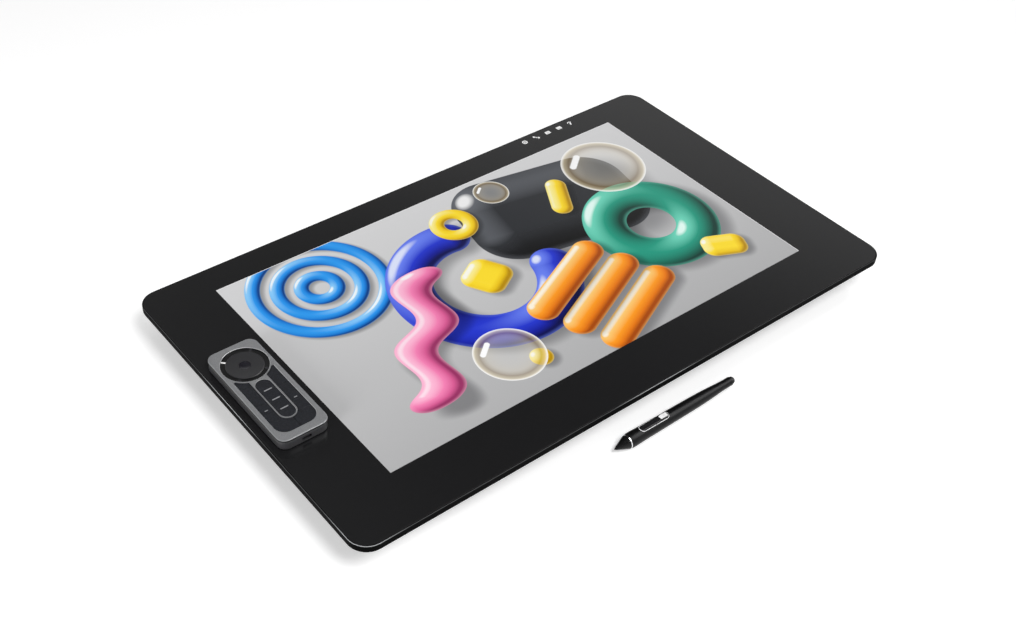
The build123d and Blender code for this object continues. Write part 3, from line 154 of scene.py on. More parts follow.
# %% Floor and white surroundings
FLOOR_HALF = 6.0
FLOOR_GAP = 0.4 * MM
FLOOR_LIFT = 0.34
corners = np.array([[-1, -1], [1, -1], [1, 1], [-1, 1]]) * FLOOR_HALF
floor_mesh = bpy.data.meshes.new("floor")
floor_mesh.from_pydata([(x, y, -FLOOR_GAP) for x, y in corners], [], [(0, 1, 2, 3)])
floor = bpy.data.objects.new("floor", floor_mesh)
scene.collection.objects.link(floor)

floor_material = bpy.data.materials.new("white_paper_sweep")
floor_material.use_nodes = True
tree = floor_material.node_tree
tree.nodes.clear()
rays = add(tree, "LightPath").outputs
seen = add(tree, "Math", {0: rays["Is Camera Ray"], 1: rays["Is Glossy Ray"]}, operation="MAXIMUM")
seen = add(tree, "Math", {0: seen, 1: rays["Is Transmission Ray"]}, operation="MAXIMUM")
lift = add(tree, "Math", {0: seen, 1: FLOOR_LIFT}, operation="MULTIPLY")
paper = add(tree, "BsdfDiffuse", {"Color": linear("#f0f0f0")})
glow = add(tree, "Emission", {"Strength": lift, "Color": (1, 1, 1, 1)})
both = add(tree, "AddShader", {0: paper, 1: glow})
add(tree, "OutputMaterial", {"Surface": both})
floor.data.materials.append(floor_material)

# %% [markdown]
# The world lights the object softly from all round. The camera sees it as white. Shiny
# surfaces see a room: white down at the horizon, a dark ceiling higher up and a pale wall on
# the left. That is what makes the black glass paler towards its far corner. The ramp says how
# bright the room is by height, where 0 is level and 1 is straight up. The ceiling's edge
# slopes a little, so the height is lowered by a share of the way to the right. A soft box
# stands on the right, as a shape that only shiny surfaces see: it draws the band on the pen.
# The wall is told by how far a way leads to the right, and the soft box by the angle from its
# middle, in degrees.

# %% World
WORLD_FILL = 0.30
ROOM = [(0.0, 0.90), (0.25, 0.85), (0.421, 0.63), (0.461, 0.70), (0.478, 0.60), (0.493, 0.30),
        (0.507, 0.09), (0.523, 0.01), (0.551, 0.0), (0.611, 0.0), (0.671, 0.03), (0.721, 0.05), (0.95, 0.12)]
ROOM_UP = (-0.17, 0.0, 1.0)
WALL_START, WALL_FULL = 0.45, 0.25
WALL_LEVEL = 0.14
BOX_WAY = (0.56, -0.36, 0.746)
BOX_OUTER, BOX_INNER = 24, 15
BOX_LEVEL = 6.0
world = bpy.data.worlds.new("studio")
scene.world = world
world.use_nodes = True
tree = world.node_tree
tree.nodes.clear()
rays = add(tree, "LightPath").outputs
way = add(tree, "TexCoord").outputs["Generated"]
height = add(tree, "VectorMath", {0: way, 1: ROOM_UP}, operation="DOT_PRODUCT")
room = add(tree, "ValToRGB", {0: height}, stops=[(place, (level, level, level, 1)) for place, level in ROOM])
across = add(tree, "SeparateXYZ", {0: way}).outputs["X"]
wall = add(tree, "MapRange", {"Value": across, "From Min": WALL_START, "From Max": WALL_FULL,
                              "To Max": WALL_LEVEL}, interpolation_type="SMOOTHSTEP")
shiny = add(tree, "Math", {0: room, 1: wall}, operation="ADD")
towards = add(tree, "VectorMath", {0: way, 1: BOX_WAY}, operation="DOT_PRODUCT")
box = add(tree, "MapRange", {"Value": towards, "From Min": math.cos(math.radians(BOX_OUTER)),
                             "From Max": math.cos(math.radians(BOX_INNER)), "To Max": BOX_LEVEL},
          interpolation_type="SMOOTHSTEP")
shiny = add(tree, "Math", {0: shiny, 1: box}, operation="ADD")
strength = add(tree, "Mix", {0: rays["Is Glossy Ray"], 2: WORLD_FILL, 3: shiny}, data_type="FLOAT")
flat = add(tree, "Math", {0: rays["Is Camera Ray"], 1: rays["Is Transmission Ray"]}, operation="MAXIMUM")
strength = add(tree, "Mix", {0: flat, 2: strength, 3: 1.0}, data_type="FLOAT")
sky = add(tree, "Background", {"Strength": strength, "Color": (1, 1, 1, 1)})
add(tree, "OutputWorld", {"Surface": sky})
scene.view_settings.view_transform = "Standard"

# %% [markdown]
# The main soft light stands high at the front, so the shadow keeps close under the front edge
# and grows along the left edge towards the back. A wide light overhead evens the top, a small
# one on the right shows in shiny surfaces, and a low one on the left lifts the remote's flank.

# %% Soft lights
def soft_light(name, place, target, size, power, seen_in_gloss=False):
    """A round lamp of that width (m) and power (W), aimed at a target. Gloss shows it only if asked."""
    data = bpy.data.lights.new(name, "AREA")
    data.shape = "DISK"
    data.size = size
    data.energy = power
    light = bpy.data.objects.new(name, data)
    light.location = place
    light.rotation_mode = "QUATERNION"
    light.rotation_quaternion = (Vector(target) - Vector(place)).to_track_quat("-Z", "Y")
    light.visible_glossy = seen_in_gloss
    scene.collection.objects.link(light)
    print(name, "at", place, "power", power)


soft_light("key_light", (-0.30, -1.45, 2.15), (0, 0, 0), 0.9, 40.0)
soft_light("top_light", (0.1, 0.1, 2.6), (0, 0, 0), 1.8, 5.0)
soft_light("streak_light", (1.35, -0.30, 1.75), (0, 0, 0), 0.3, 3.0, True)
soft_light("flank_light", (-2.0, -0.5, 0.5), (-0.3, 0, 0), 0.8, 20.0)

# %% [markdown]
# Most surfaces here are moulded, etched, blasted or rubbery, and all of these share one thing:
# a fine grain that makes the gloss uneven. One helper gives a shader that grain from a noise
# of a real size. The same noise can also lift and lower the surface a little.

# %% Grain for a surface
def grained(tree, shader, size, spread, relief=0.0):
    """Noise of a grain size (mm) varies roughness by the spread and lifts the surface by the relief (mm)."""
    roughness = shader.inputs["Roughness"].default_value
    noise = add(tree, "TexNoise", {"Vector": places(tree), "Scale": 1 / (size * MM), "Detail": 3.0})
    uneven = add(tree, "MapRange", {"Value": noise, "From Min": 0.3, "From Max": 0.7,
                                    "To Min": roughness - spread, "To Max": roughness + spread})
    tree.links.new(uneven.outputs[0], shader.inputs["Roughness"])
    if relief:
        bump = add(tree, "Bump", {"Height": noise, "Distance": relief * MM, "Strength": 1.0})
        tree.links.new(bump.outputs[0], shader.inputs["Normal"])


def toned(tree, shader, first, second, size, spread=0.5):
    """The base colour drifts between two near tones, in soft patches of that size (mm)."""
    patches = add(tree, "TexNoise", {"Vector": places(tree), "Scale": 1 / (size * MM), "Detail": 1.0})
    share = add(tree, "MapRange", {"Value": patches, "From Min": 0.5 - spread, "From Max": 0.5 + spread})
    mix = add(tree, "Mix", {0: share, 6: linear(first), 7: linear(second)}, data_type="RGBA")
    tree.links.new(mix.outputs[2], shader.inputs["Base Color"])


def dress(material, *names):
    """Give these solids the material. Their meshes stay as they are."""
    for name in names:
        slots = nodes[name].data.materials
        slots.clear()
        slots.append(material)
    print(material.name, "on", ", ".join(names))


# %% [markdown]
# The front is one sheet of strengthened glass with black print behind it. It was etched to
# give the pen some tooth, so it reflects as a soft haze and never as a mirror. The etching
# is finer than a tenth of a millimetre. It is drawn about five times as coarse, to show.

# %% Etched glass over black print
etched_glass, tree, shader = surface("etched_glass_over_black_print", "#18181a", 0.21, IOR=1.5)
grained(tree, shader, 0.5, 0.02)
toned(tree, shader, "#171718", "#19191a", 60)
dress(etched_glass, "front_glass")

# %% [markdown]
# The frame is a magnesium casting with a matte black coat. Its top edge has a bevel half a
# millimetre wide that runs round the glass. The bevel's colour is painted pale, as a painted
# highlight: faintly all round, and strongly in three places, each a soft spot of its own reach.
# Height alone tells the bevel from the painted side: it starts half a millimetre under the
# glass top. The table gives each spot's middle and reach in millimetres.

# %% Painted frame with a thin bevel and a painted highlight on it
BEVEL_HIGHLIGHT_SPOTS = [(2, -184, 62), (-327, -172, 50), (-331, 25, 60)]
HIGHLIGHT_ALL_ROUND, HIGHLIGHT_IN_SPOTS = 0.14, 0.60
BEVEL_LOW, BEVEL_HIGH = GLASS_TOP - 0.49 * MM, GLASS_TOP - 0.02 * MM
frame_paint, tree, shader = surface("black_coat_with_cut_bevel", "#030303", 0.6, Specular_IOR_Level=0.02)
grained(tree, shader, 0.4, 0.05)
level = add(tree, "SeparateXYZ", {0: places(tree)}).outputs["Z"]
above = add(tree, "MapRange", {"Value": level, "From Min": BEVEL_LOW, "From Max": BEVEL_LOW + 0.07 * MM})
below = add(tree, "MapRange", {"Value": level, "From Min": BEVEL_HIGH, "From Max": BEVEL_HIGH - 0.06 * MM})
# Painted highlight: the bevel's colour turns pale, faintly all round and strongly in three spots.
painted_highlight = HIGHLIGHT_ALL_ROUND
for x, y, reach in BEVEL_HIGHLIGHT_SPOTS:
    middle = (x * MM, y * MM, GLASS_TOP)
    gap = add(tree, "VectorMath", {0: places(tree), 1: middle}, operation="DISTANCE").outputs["Value"]
    spot = add(tree, "MapRange", {"Value": gap, "From Min": reach * MM, "From Max": 0.2 * reach * MM,
                                  "To Max": HIGHLIGHT_IN_SPOTS}, interpolation_type="SMOOTHSTEP")
    painted_highlight = add(tree, "Math", {0: spot, 1: painted_highlight}, operation="ADD", use_clamp=True)
bevel = add(tree, "Math", {0: above, 1: below}, operation="MULTIPLY")
bevel = add(tree, "Math", {0: bevel, 1: painted_highlight}, operation="MULTIPLY")
coat = add(tree, "Mix", {0: bevel, 6: linear("#030303"), 7: linear("#b4b6b8")}, data_type="RGBA")
tree.links.new(coat.outputs[2], shader.inputs["Base Color"])
dress(frame_paint, "mid_frame")

# %% [markdown]
# The rear cover is moulded in a tough black blend of polycarbonate and ABS. Its mould was
# spark eroded, which leaves a pebbled skin with grains of a few tenths of a millimetre.

# %% Moulded rear cover
cover_plastic, tree, shader = surface("spark_eroded_abs", "#141415", 0.56)
grained(tree, shader, 0.7, 0.08, relief=0.05)
toned(tree, shader, "#131314", "#171718", 45)
dress(cover_plastic, "rear_cover")

# %% [markdown]
# The legs are die cast and powder coated. The coat flows as it bakes, so its skin has soft
# low waves about a millimetre long, a little glossier than the cover.

# %% Powder-coated legs
leg_paint, tree, shader = surface("powder_coated_casting", "#1b1b1d", 0.42)
grained(tree, shader, 1.1, 0.06, relief=0.04)
toned(tree, shader, "#1a1a1c", "#1f1f21", 30)
dress(leg_paint, "leg_left", "leg_right")

# %% [markdown]
# Rubber feet are matte and slightly dusty: a rough surface with a faint grey bloom.

# %% Rubber
rubber, tree, shader = surface("nitrile_rubber", "#0f0f10", 0.88)
grained(tree, shader, 0.5, 0.06, relief=0.03)
toned(tree, shader, "#0d0d0e", "#161616", 8)
dress(rubber, "rest_strips", "leg_pad_left", "leg_pad_right", "remote_pads")

# %% [markdown]
# The small metal parts are plated steel. Black oxide keeps the screws dark, zinc gives the
# arm plate its pale grey, and nickel makes the socket shells bright.

# %% Plated steel
black_oxide, tree, shader = surface("black_oxide_steel", "#2b2b2e", 0.38, metallic=1.0)
grained(tree, shader, 0.6, 0.07)
dress(black_oxide, "rear_screws", "leg_pins")
zinc, tree, shader = surface("zinc_plated_steel", "#9c9fa1", 0.34, metallic=1.0)
grained(tree, shader, 3.0, 0.06)
toned(tree, shader, "#93979b", "#a6a8a6", 12)
dress(zinc, "arm_plate", "backlight_tray")
nickel, tree, shader = surface("nickel_plated_shell", "#b9b6ae", 0.26, metallic=1.0)
grained(tree, shader, 1.5, 0.04)
dress(nickel, "video_sockets", "usb_c_socket", "usb_a_sockets", "bezel_magnets", "remote_magnets")
inlet_nylon, tree, shader = surface("glass_filled_nylon", "#101011", 0.5)
grained(tree, shader, 0.5, 0.05)
dress(inlet_nylon, "power_inlet")

# %% [markdown]
# Inside, seen only through the vents and the sockets, are boards with green solder mask, a
# copper and aluminium heat sink, fans in dark glass-filled plastic, the light guide and the
# panel's layers. They are still real surfaces, and each gets its own finish.

# %% Boards, cooling and the panel's layers
solder_mask, tree, shader = surface("green_solder_mask", "#17402a", 0.32)
TRACK_SPACING = 2.5 * MM
tracks = add(tree, "TexVoronoi", {"Vector": places(tree), "Scale": 1 / TRACK_SPACING},
             feature="DISTANCE_TO_EDGE")
line = add(tree, "MapRange", {"Value": tracks.outputs["Distance"], "From Min": 0.04, "From Max": 0.09})
mix = add(tree, "Mix", {0: line, 6: linear("#2a6a45"), 7: linear("#153a27")}, data_type="RGBA")
tree.links.new(mix.outputs[2], shader.inputs["Base Color"])
dress(solder_mask, "digitizer_board", "main_board", "remote_board", "pen_core")
fin_metal, tree, shader = surface("rolled_aluminium_fins", "#b7babd", 0.3, metallic=1.0)
grained(tree, shader, 2.0, 0.05)
dress(fin_metal, "heat_sink")
fan_plastic, tree, shader = surface("glass_filled_pbt", "#17181a", 0.34)
grained(tree, shader, 0.8, 0.05)
dress(fan_plastic, "fan_rotor_left", "fan_rotor_right", "fan_housings")
panel_glass, tree, shader = surface("dark_panel_glass", "#1a1b1f", 0.2, IOR=1.52)
toned(tree, shader, "#191a1e", "#1d1e22", 80)
dress(panel_glass, "lcd_panel")
guide_acrylic, tree, shader = surface("frosted_acrylic", "#e6e8ea", 0.4, IOR=1.49)
toned(tree, shader, "#e2e5e8", "#ececec", 70)
dress(guide_acrylic, "light_guide")
cell_foil, tree, shader = surface("cell_foil", "#b9bcc0", 0.36, metallic=0.9)
grained(tree, shader, 4.0, 0.08, relief=0.05)
dress(cell_foil, "remote_battery")

# %% [markdown]
# The two controls in the back edge are moulded in a satin black.

# %% Back edge controls
button_plastic, tree, shader = surface("satin_black_abs", "#1c1c1e", 0.4)
grained(tree, shader, 0.4, 0.04)
dress(button_plastic, "power_button", "touch_switch")

# %% [markdown]
# The remote's face is an aluminium plate, blasted with fine glass beads and anodised grey.
# Blasting gives a metal with no direction in its gloss, only a fine sparkle, so a small
# grain in the roughness and a faint one in the colour are all it needs. Below eight tenths of
# a millimetre from its top, the plate's side is painted black, as painted shade for the dark
# gap under the plate's edge.

# %% Blasted and anodised face plate
anodised, tree, shader = surface("bead_blasted_anodised_aluminium", "#9e9fa1", 0.44, metallic=0.65)
grained(tree, shader, 0.35, 0.05, relief=0.012)
toned(tree, shader, "#949597", "#a6a7a9", 0.8, spread=0.2)
level = add(tree, "SeparateXYZ", {0: places(tree)}).outputs["Z"]
SHADE_PAINTED_UP_TO = FACE_TOP - 0.9 * MM
top = add(tree, "MapRange", {"Value": level, "From Min": SHADE_PAINTED_UP_TO, "From Max": SHADE_PAINTED_UP_TO + 0.2 * MM})
grey = shader.inputs["Base Color"].links[0].from_socket
# Painted shade: below this height the plate's side is coloured black, for the gap under its edge.
side_painted_shade = add(tree, "Mix", {0: top, 6: linear("#050506"), 7: grey}, data_type="RGBA")
tree.links.new(side_painted_shade.outputs[2], shader.inputs["Base Color"])
dress(anodised, "remote_faceplate")

# %% [markdown]
# The keys are a matte polycarbonate with a coarse spark grain, which breaks the light into
# fine specks. Three of the keys in the capsule carry a raised pale bar, and the bars alone
# rise to the height of the plate, so height finds them.

# %% Keys of the remote
BARS_FROM = FACE_TOP - 0.26 * MM
key_plastic, tree, shader = surface(
    "spark_grained_key_polycarbonate", "#1b1c1f", 0.52, Specular_IOR_Level=0.35)
grained(tree, shader, 0.9, 0.08, relief=0.03)
specks = add(tree, "TexNoise", {"Vector": places(tree), "Scale": 1 / (1.1 * MM), "Detail": 2.0})
specks = add(tree, "MapRange", {"Value": specks, "From Min": 0.38, "From Max": 0.66})
grain = add(tree, "Mix", {0: specks, 6: linear("#0c0d11"), 7: linear("#1f2127")}, data_type="RGBA")
level = add(tree, "SeparateXYZ", {0: places(tree)}).outputs["Z"]
bars = add(tree, "MapRange", {"Value": level, "From Min": BARS_FROM, "From Max": BARS_FROM + 0.12 * MM})
keyed = add(tree, "Mix", {0: bars, 6: grain, 7: linear("#97989b")}, data_type="RGBA")
tree.links.new(keyed.outputs[2], shader.inputs["Base Color"])
dress(key_plastic, *sorted(name for name in nodes if "_key_" in name))

# %% [markdown]
# The touch ring is a smoother satin, so that a finger glides over it. The channel round its
# disc is painted a deeper black, as painted shade in the recess, and the distance from the
# ring's middle tells them apart.
# The button in the middle is polished, and the shell is satin.

# %% Ring, centre button and shell of the remote
DISC_RADIUS = 17.6 * MM
FLATTEN = 1e6
ring_plastic, tree, shader = surface("satin_ring_polycarbonate", "#2b2b2d", 0.34)
grained(tree, shader, 0.5, 0.03)
centred = add(tree, "Mapping", {"Vector": places(tree), "Location": (*RING_MIDDLE, 0),
                                "Scale": (1, 1, FLATTEN)}, vector_type="TEXTURE")
away = add(tree, "VectorMath", {0: centred}, operation="LENGTH")
channel = add(tree, "MapRange", {"Value": away, "From Min": DISC_RADIUS, "From Max": DISC_RADIUS + 0.4 * MM})
# Painted shade: the recessed channel round the disc is coloured a deeper black.
channel_painted_shade = add(tree, "Mix", {0: channel, 6: linear("#2b2b2d"), 7: linear("#0b0b0c")}, data_type="RGBA")
tree.links.new(channel_painted_shade.outputs[2], shader.inputs["Base Color"])
dress(ring_plastic, "remote_ring")
dish_plastic, tree, shader = surface("polished_button_polycarbonate", "#19181f", 0.24)
grained(tree, shader, 0.6, 0.02)
dress(dish_plastic, "remote_ring_button", "remote_power_slider")
shell_plastic, tree, shader = surface("satin_shell_polycarbonate", "#38383a", 0.3)
grained(tree, shader, 0.5, 0.04)
dress(shell_plastic, "remote_shell")

# %% [markdown]
# Four light pipes sit in the channel round the disc, and only one is lit at a time: the one
# to the upper left. Its place decides the colour, so the other three stay smoked.

# %% Light pipes, one of them lit
light_pipe, tree, shader = surface("smoked_light_pipe", "#3a3a3d", 0.25)
centred = add(tree, "Mapping", {"Vector": places(tree), "Location": (*RING_MIDDLE, 0)}, vector_type="TEXTURE")
split = add(tree, "SeparateXYZ", {0: centred}).outputs
west = add(tree, "Math", {0: split["X"], 1: 0.0}, operation="LESS_THAN")
north = add(tree, "Math", {0: split["Y"], 1: 0.0}, operation="GREATER_THAN")
lit = add(tree, "Math", {0: west, 1: north}, operation="MULTIPLY")
mix = add(tree, "Mix", {0: lit, 6: linear("#3a3a3d"), 7: linear("#ffffff")}, data_type="RGBA")
tree.links.new(mix.outputs[2], shader.inputs["Base Color"])
dress(light_pipe, "remote_indicators")

# %% [markdown]
# The pen's barrel has a soft-touch coat, its nose is acetal, the band between them is
# polished aluminium, and the two-way switch is a glossier plastic than the barrel.

# %% Pen finishes
soft_touch, tree, shader = surface("soft_touch_coat", "#0e0e0f", 0.36, Specular_IOR_Level=0.15)
grained(tree, shader, 0.4, 0.05, relief=0.012)
dress(soft_touch, "pen_barrel")
acetal, tree, shader = surface("turned_acetal", "#101011", 0.28, Specular_IOR_Level=0.2)
grained(tree, shader, 0.5, 0.04)
dress(acetal, "pen_nose", "pen_nib")
polished, tree, shader = surface("polished_aluminium", "#e4e5e7", 0.24, metallic=1.0)
grained(tree, shader, 0.6, 0.03)
dress(polished, "pen_ring")
switch_plastic, tree, shader = surface("gloss_switch_polycarbonate", "#1c1c1e", 0.3, Specular_IOR_Level=0.35)
grained(tree, shader, 0.5, 0.04)
dress(switch_plastic, "pen_switch")
eraser_rubber, tree, shader = surface("eraser_elastomer", "#19191a", 0.6)
grained(tree, shader, 0.5, 0.06, relief=0.02)
dress(eraser_rubber, "pen_eraser")

# %% [markdown]
# New pieces are grids of points worked out with numpy. Rows run along the piece and columns
# across or round it, and every face joins four neighbouring points. Turned the wrong way, a
# face would look inward, so a flip can be asked for.

# %% From a grid of points to a piece
def piece(name, points, body, material, wrap_rows=False, wrap_columns=False, flip=False, extra=()):
    """Face (i, j) joins points (i, j), (i + 1, j), (i + 1, j + 1) and (i, j + 1) of the grid."""
    rows, columns = points.shape[:2]
    i, j = np.meshgrid(np.arange(rows if wrap_rows else rows - 1),
                       np.arange(columns if wrap_columns else columns - 1), indexing="ij")
    i2, j2 = (i + 1) % rows, (j + 1) % columns
    faces = np.stack([i * columns + j, i2 * columns + j, i2 * columns + j2, i * columns + j2], axis=-1)
    faces = faces.reshape(-1, 4)
    if flip:
        faces = faces[:, ::-1]
    return built(name, points.reshape(-1, 3), [*faces.tolist(), *extra], body, material)


def built(name, points, faces, body, material, smooth=True):
    """Put points and faces into an object that rides on a body."""
    mesh = bpy.data.meshes.new(name)
    mesh.from_pydata(np.asarray(points).tolist(), [], faces)
    mesh.materials.append(material)
    mesh.polygons.foreach_set("use_smooth", np.full(len(mesh.polygons), smooth))
    thing = bpy.data.objects.new(name, mesh)
    scene.collection.objects.link(thing)
    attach(thing, body)
    print(name, "rides on", body, "with", len(mesh.polygons), "faces")
    return thing


# %% [markdown]
# The screen shows a picture. What it shows here is a made-up one: glossy rounded forms over a
# pale grey ground. Each form is drawn by its own formula in the material. A formula gives the
# slope: the way from the nearest point of the form's core to the place that is painted,
# with a length of one at the rim. The core may be a point, which makes a ball, a line, which
# makes a rod, a flat patch, which makes a cushion, or a circle, which makes a ring.

# %% The slope of a form
PICTURE_Z = GLASS_TOP + 0.03 * MM
LIGHT_WAY = np.array([-0.45, 0.60, 0.66])
LIGHT_WAY /= np.linalg.norm(LIGHT_WAY)


def around(tree, where, middle, unit, turn):
    """Coordinates with the form's middle at nought, turned with it, in units of that many mm."""
    x, y = PICTURE_MIDDLE + np.array(middle) * MM
    return add(tree, "Mapping", {"Vector": where, "Location": (x, y, PICTURE_Z),
                                 "Rotation": (0, 0, math.radians(turn)),
                                 "Scale": (unit * MM, unit * MM, 1)}, vector_type="TEXTURE")


WAVES = 1.5


def soft_form(tree, where, middle, radius, turn, reach, sway=0.0):
    """Ball, rod or cushion: slope = place - place held within the reach. A sway bends a rod by a sine."""
    at = around(tree, where, middle, radius, turn)
    if sway:
        split = add(tree, "SeparateXYZ", {0: at}).outputs
        wave = add(tree, "Math", {0: split["X"], 1: WAVES}, operation="MULTIPLY")
        wave = add(tree, "Math", {0: wave}, operation="SINE")
        bent = add(tree, "Math", {0: wave, 1: sway, 2: split["Y"]}, operation="MULTIPLY_ADD")
        at = add(tree, "CombineXYZ", {0: split["X"], 1: bent})
    held = add(tree, "VectorMath", {0: at, 1: (-reach[0], -reach[1], 0)}, operation="MAXIMUM")
    held = add(tree, "VectorMath", {0: held, 1: (reach[0], reach[1], 0)}, operation="MINIMUM")
    return add(tree, "VectorMath", {0: at, 1: held}, operation="SUBTRACT")


def bow(tree, where, middle, tube, turn, radius, half_angle):
    """Ring, or a bow with round ends: slope = place - radius along the angle, held within its half."""
    at = around(tree, where, middle, tube, turn)
    split = add(tree, "SeparateXYZ", {0: at}).outputs
    angle = add(tree, "Math", {0: split["Y"], 1: split["X"]}, operation="ARCTAN2")
    angle = add(tree, "Clamp", {0: angle, 1: -math.radians(half_angle), 2: math.radians(half_angle)})
    x = add(tree, "Math", {0: angle}, operation="COSINE")
    y = add(tree, "Math", {0: angle}, operation="SINE")
    outwards = add(tree, "CombineXYZ", {0: x, 1: y})
    on_core = add(tree, "VectorMath", {0: outwards, "Scale": radius / tube}, operation="SCALE")
    return add(tree, "VectorMath", {0: at, 1: on_core}, operation="SUBTRACT")


# %% [markdown]
# With the slope known, the painting is the same for every form. The squared length of the
# slope is nought over the core and one at the rim, so the square root of one minus it is the
# height. How far the surface faces the light is then a sum of slope and height, and a ramp
# turns that into a tone, from deep shade to a small clear highlight. Near the rim a glossy
# surface always turns paler, because it mirrors what lies round it.

# %% Painting a form
TONE_PLACES = (0.0, 0.32, 0.66, 0.94, 0.985)
GLEAM_START, GLEAM_SHARE = 0.60, 0.38
RIM_SOFTNESS = 0.6
SHADOW_OUTER, SHADOW_INNER = 1.15, 0.15
LENS_TONES = [(0.0, "#f6f4ee", 0.18), (0.40, "#e9dfca", 0.30), (0.66, "#9a8258", 0.50),
              (0.84, "#d9c9a4", 0.55), (0.92, "#fbf6ea", 0.80), (0.985, "#ffffff", 0.85),
              (1.0, "#ffffff", 0.0)]


def painted(tree, below, slope, turn, radius, tones):
    """Light = slope . light across + height x light up. A square falls twice as fast as its root."""
    turned = Matrix.Rotation(-math.radians(turn), 3, "Z") @ Vector((LIGHT_WAY[0], LIGHT_WAY[1], 0))
    squared = add(tree, "VectorMath", {0: slope, 1: slope}, operation="DOT_PRODUCT")
    height = add(tree, "Math", {0: 1.0, 1: squared}, operation="SUBTRACT", use_clamp=True)
    height = add(tree, "Math", {0: height}, operation="SQRT")
    across = add(tree, "VectorMath", {0: slope, 1: turned}, operation="DOT_PRODUCT")
    light = add(tree, "Math", {0: height, 1: float(LIGHT_WAY[2]), 2: across}, operation="MULTIPLY_ADD")
    tone = add(tree, "ValToRGB", {0: light}, stops=[*zip(TONE_PLACES, map(linear, tones))])
    gleam = add(tree, "MapRange", {"Value": squared, "From Min": GLEAM_START, "To Max": GLEAM_SHARE},
                interpolation_type="SMOOTHSTEP")
    tone = add(tree, "Mix", {0: gleam, 6: tone, 7: linear(tones[3])}, data_type="RGBA")
    rim = 1.0 - 2 * RIM_SOFTNESS / radius
    inside = add(tree, "MapRange", {"Value": squared, "From Min": 1.0, "From Max": rim})
    return add(tree, "Mix", {0: inside, 6: below, 7: tone}, data_type="RGBA")


def shaded(tree, below, slope, depth):
    """A soft dark patch that fades from the core outwards."""
    squared = add(tree, "VectorMath", {0: slope, 1: slope}, operation="DOT_PRODUCT")
    fade = add(tree, "MapRange", {"Value": squared, "From Min": SHADOW_OUTER, "From Max": SHADOW_INNER,
                                  "To Max": depth}, interpolation_type="SMOOTHSTEP")
    shade = linear("#45454e")
    return add(tree, "Mix", {0: fade, 6: below, 7: shade}, data_type="RGBA", blend_type="MULTIPLY")


def lens(tree, where, below, middle, radius):
    """A clear disc: nearly nothing in the middle, a warm dark ring near the rim, then a pale line."""
    at = around(tree, where, middle, radius, 0)
    squared = add(tree, "VectorMath", {0: at, 1: at}, operation="DOT_PRODUCT")
    stops = [(place, linear(code, alpha)) for place, code, alpha in LENS_TONES]
    glass = add(tree, "ValToRGB", {0: squared}, stops=stops)
    below = add(tree, "Mix", {0: glass.outputs["Alpha"], 6: below, 7: glass}, data_type="RGBA")
    glint_middle = (middle[0] - 0.44 * radius, middle[1] + 0.50 * radius)
    glint = soft_form(tree, where, glint_middle, 0.09 * radius, 38, (2.4, 0.0))
    squared = add(tree, "VectorMath", {0: glint, 1: glint}, operation="DOT_PRODUCT")
    inside = add(tree, "MapRange", {"Value": squared, "From Min": 1.0, "From Max": 0.5})
    return add(tree, "Mix", {0: inside, 6: below, 7: linear("#ffffff")}, data_type="RGBA")


# %% [markdown]
# Every form has five tones, from deep shade to highlight. Its place is measured in millimetres
# from the middle of the picture.

# %% Tones and forms of the picture
SKY = ("#0a3f86", "#1477d4", "#2f9cf2", "#8ed0ff", "#f4fbff")
CHARCOAL = ("#040405", "#121316", "#2a2c30", "#65686e", "#f4f4f4")
ROYAL = ("#080d52", "#141f9e", "#2538cf", "#6b83f4", "#dfe6ff")
TEAL = ("#033a30", "#0f6f5b", "#1f9a80", "#6fd6bc", "#e6fff7")
PINK = ("#9a3565", "#d95c94", "#f582b5", "#ffbcd8", "#fff4f9")
ORANGE = ("#a84a06", "#ea7a10", "#ff9d22", "#ffcb73", "#fff6e2")
YELLOW = ("#b98d04", "#eec414", "#ffdf2e", "#fff29a", "#fffdf0")

# Form, middle, radius of the rim, turn, then what that form needs, then its tones
FORMS = [
    *[(bow, (-176, 92), 8.0, 0, (radius, 180), SKY) for radius in (66, 42, 18)],
    (soft_form, (100, 62), 46.0, -10, ((1.25, 0.5),), CHARCOAL),
    (bow, (168, -22), 24.0, 0, (50, 180), TEAL),
    (bow, (-36, 6), 24.0, 214, (76, 132), ROYAL),
    (soft_form, (-132, -26), 21.0, 57, ((3.9, 0.0), 0.55), PINK),
    *[(soft_form, middle, 17.0, 24, ((3.1, 0.0),), ORANGE) for middle in ((64, -112), (48, -76), (32, -40))],
    (bow, (-6, 96), 8.5, 0, (18, 180), YELLOW),
    (soft_form, (204, -94), 13.0, -24, ((0.9, 0.3),), YELLOW),
    (soft_form, (-30, 10), 15.0, 30, ((0.6, 0.6),), YELLOW),
    (soft_form, (118, 70), 12.0, 60, ((1.6, 0.0),), YELLOW),
    (soft_form, (-62, -112), 12.0, 0, ((0.0, 0.0),), YELLOW),
]
LENSES = [((196, 84), 48), ((-84, -92), 36), ((62, 118), 20)]
print("forms:", len(FORMS), "and clear discs:", len(LENSES))

# %% [markdown]
# Now the picture itself. The ground is a grey that darkens towards the front, as the light
# falls off. Over it come the forms, each after its own shadow, in the order of the list, so a
# later form lies over an earlier one. The colour goes to the base colour, so the picture looks
# right under any light. Along the back and right borders the panel's edge shows as a pale line.

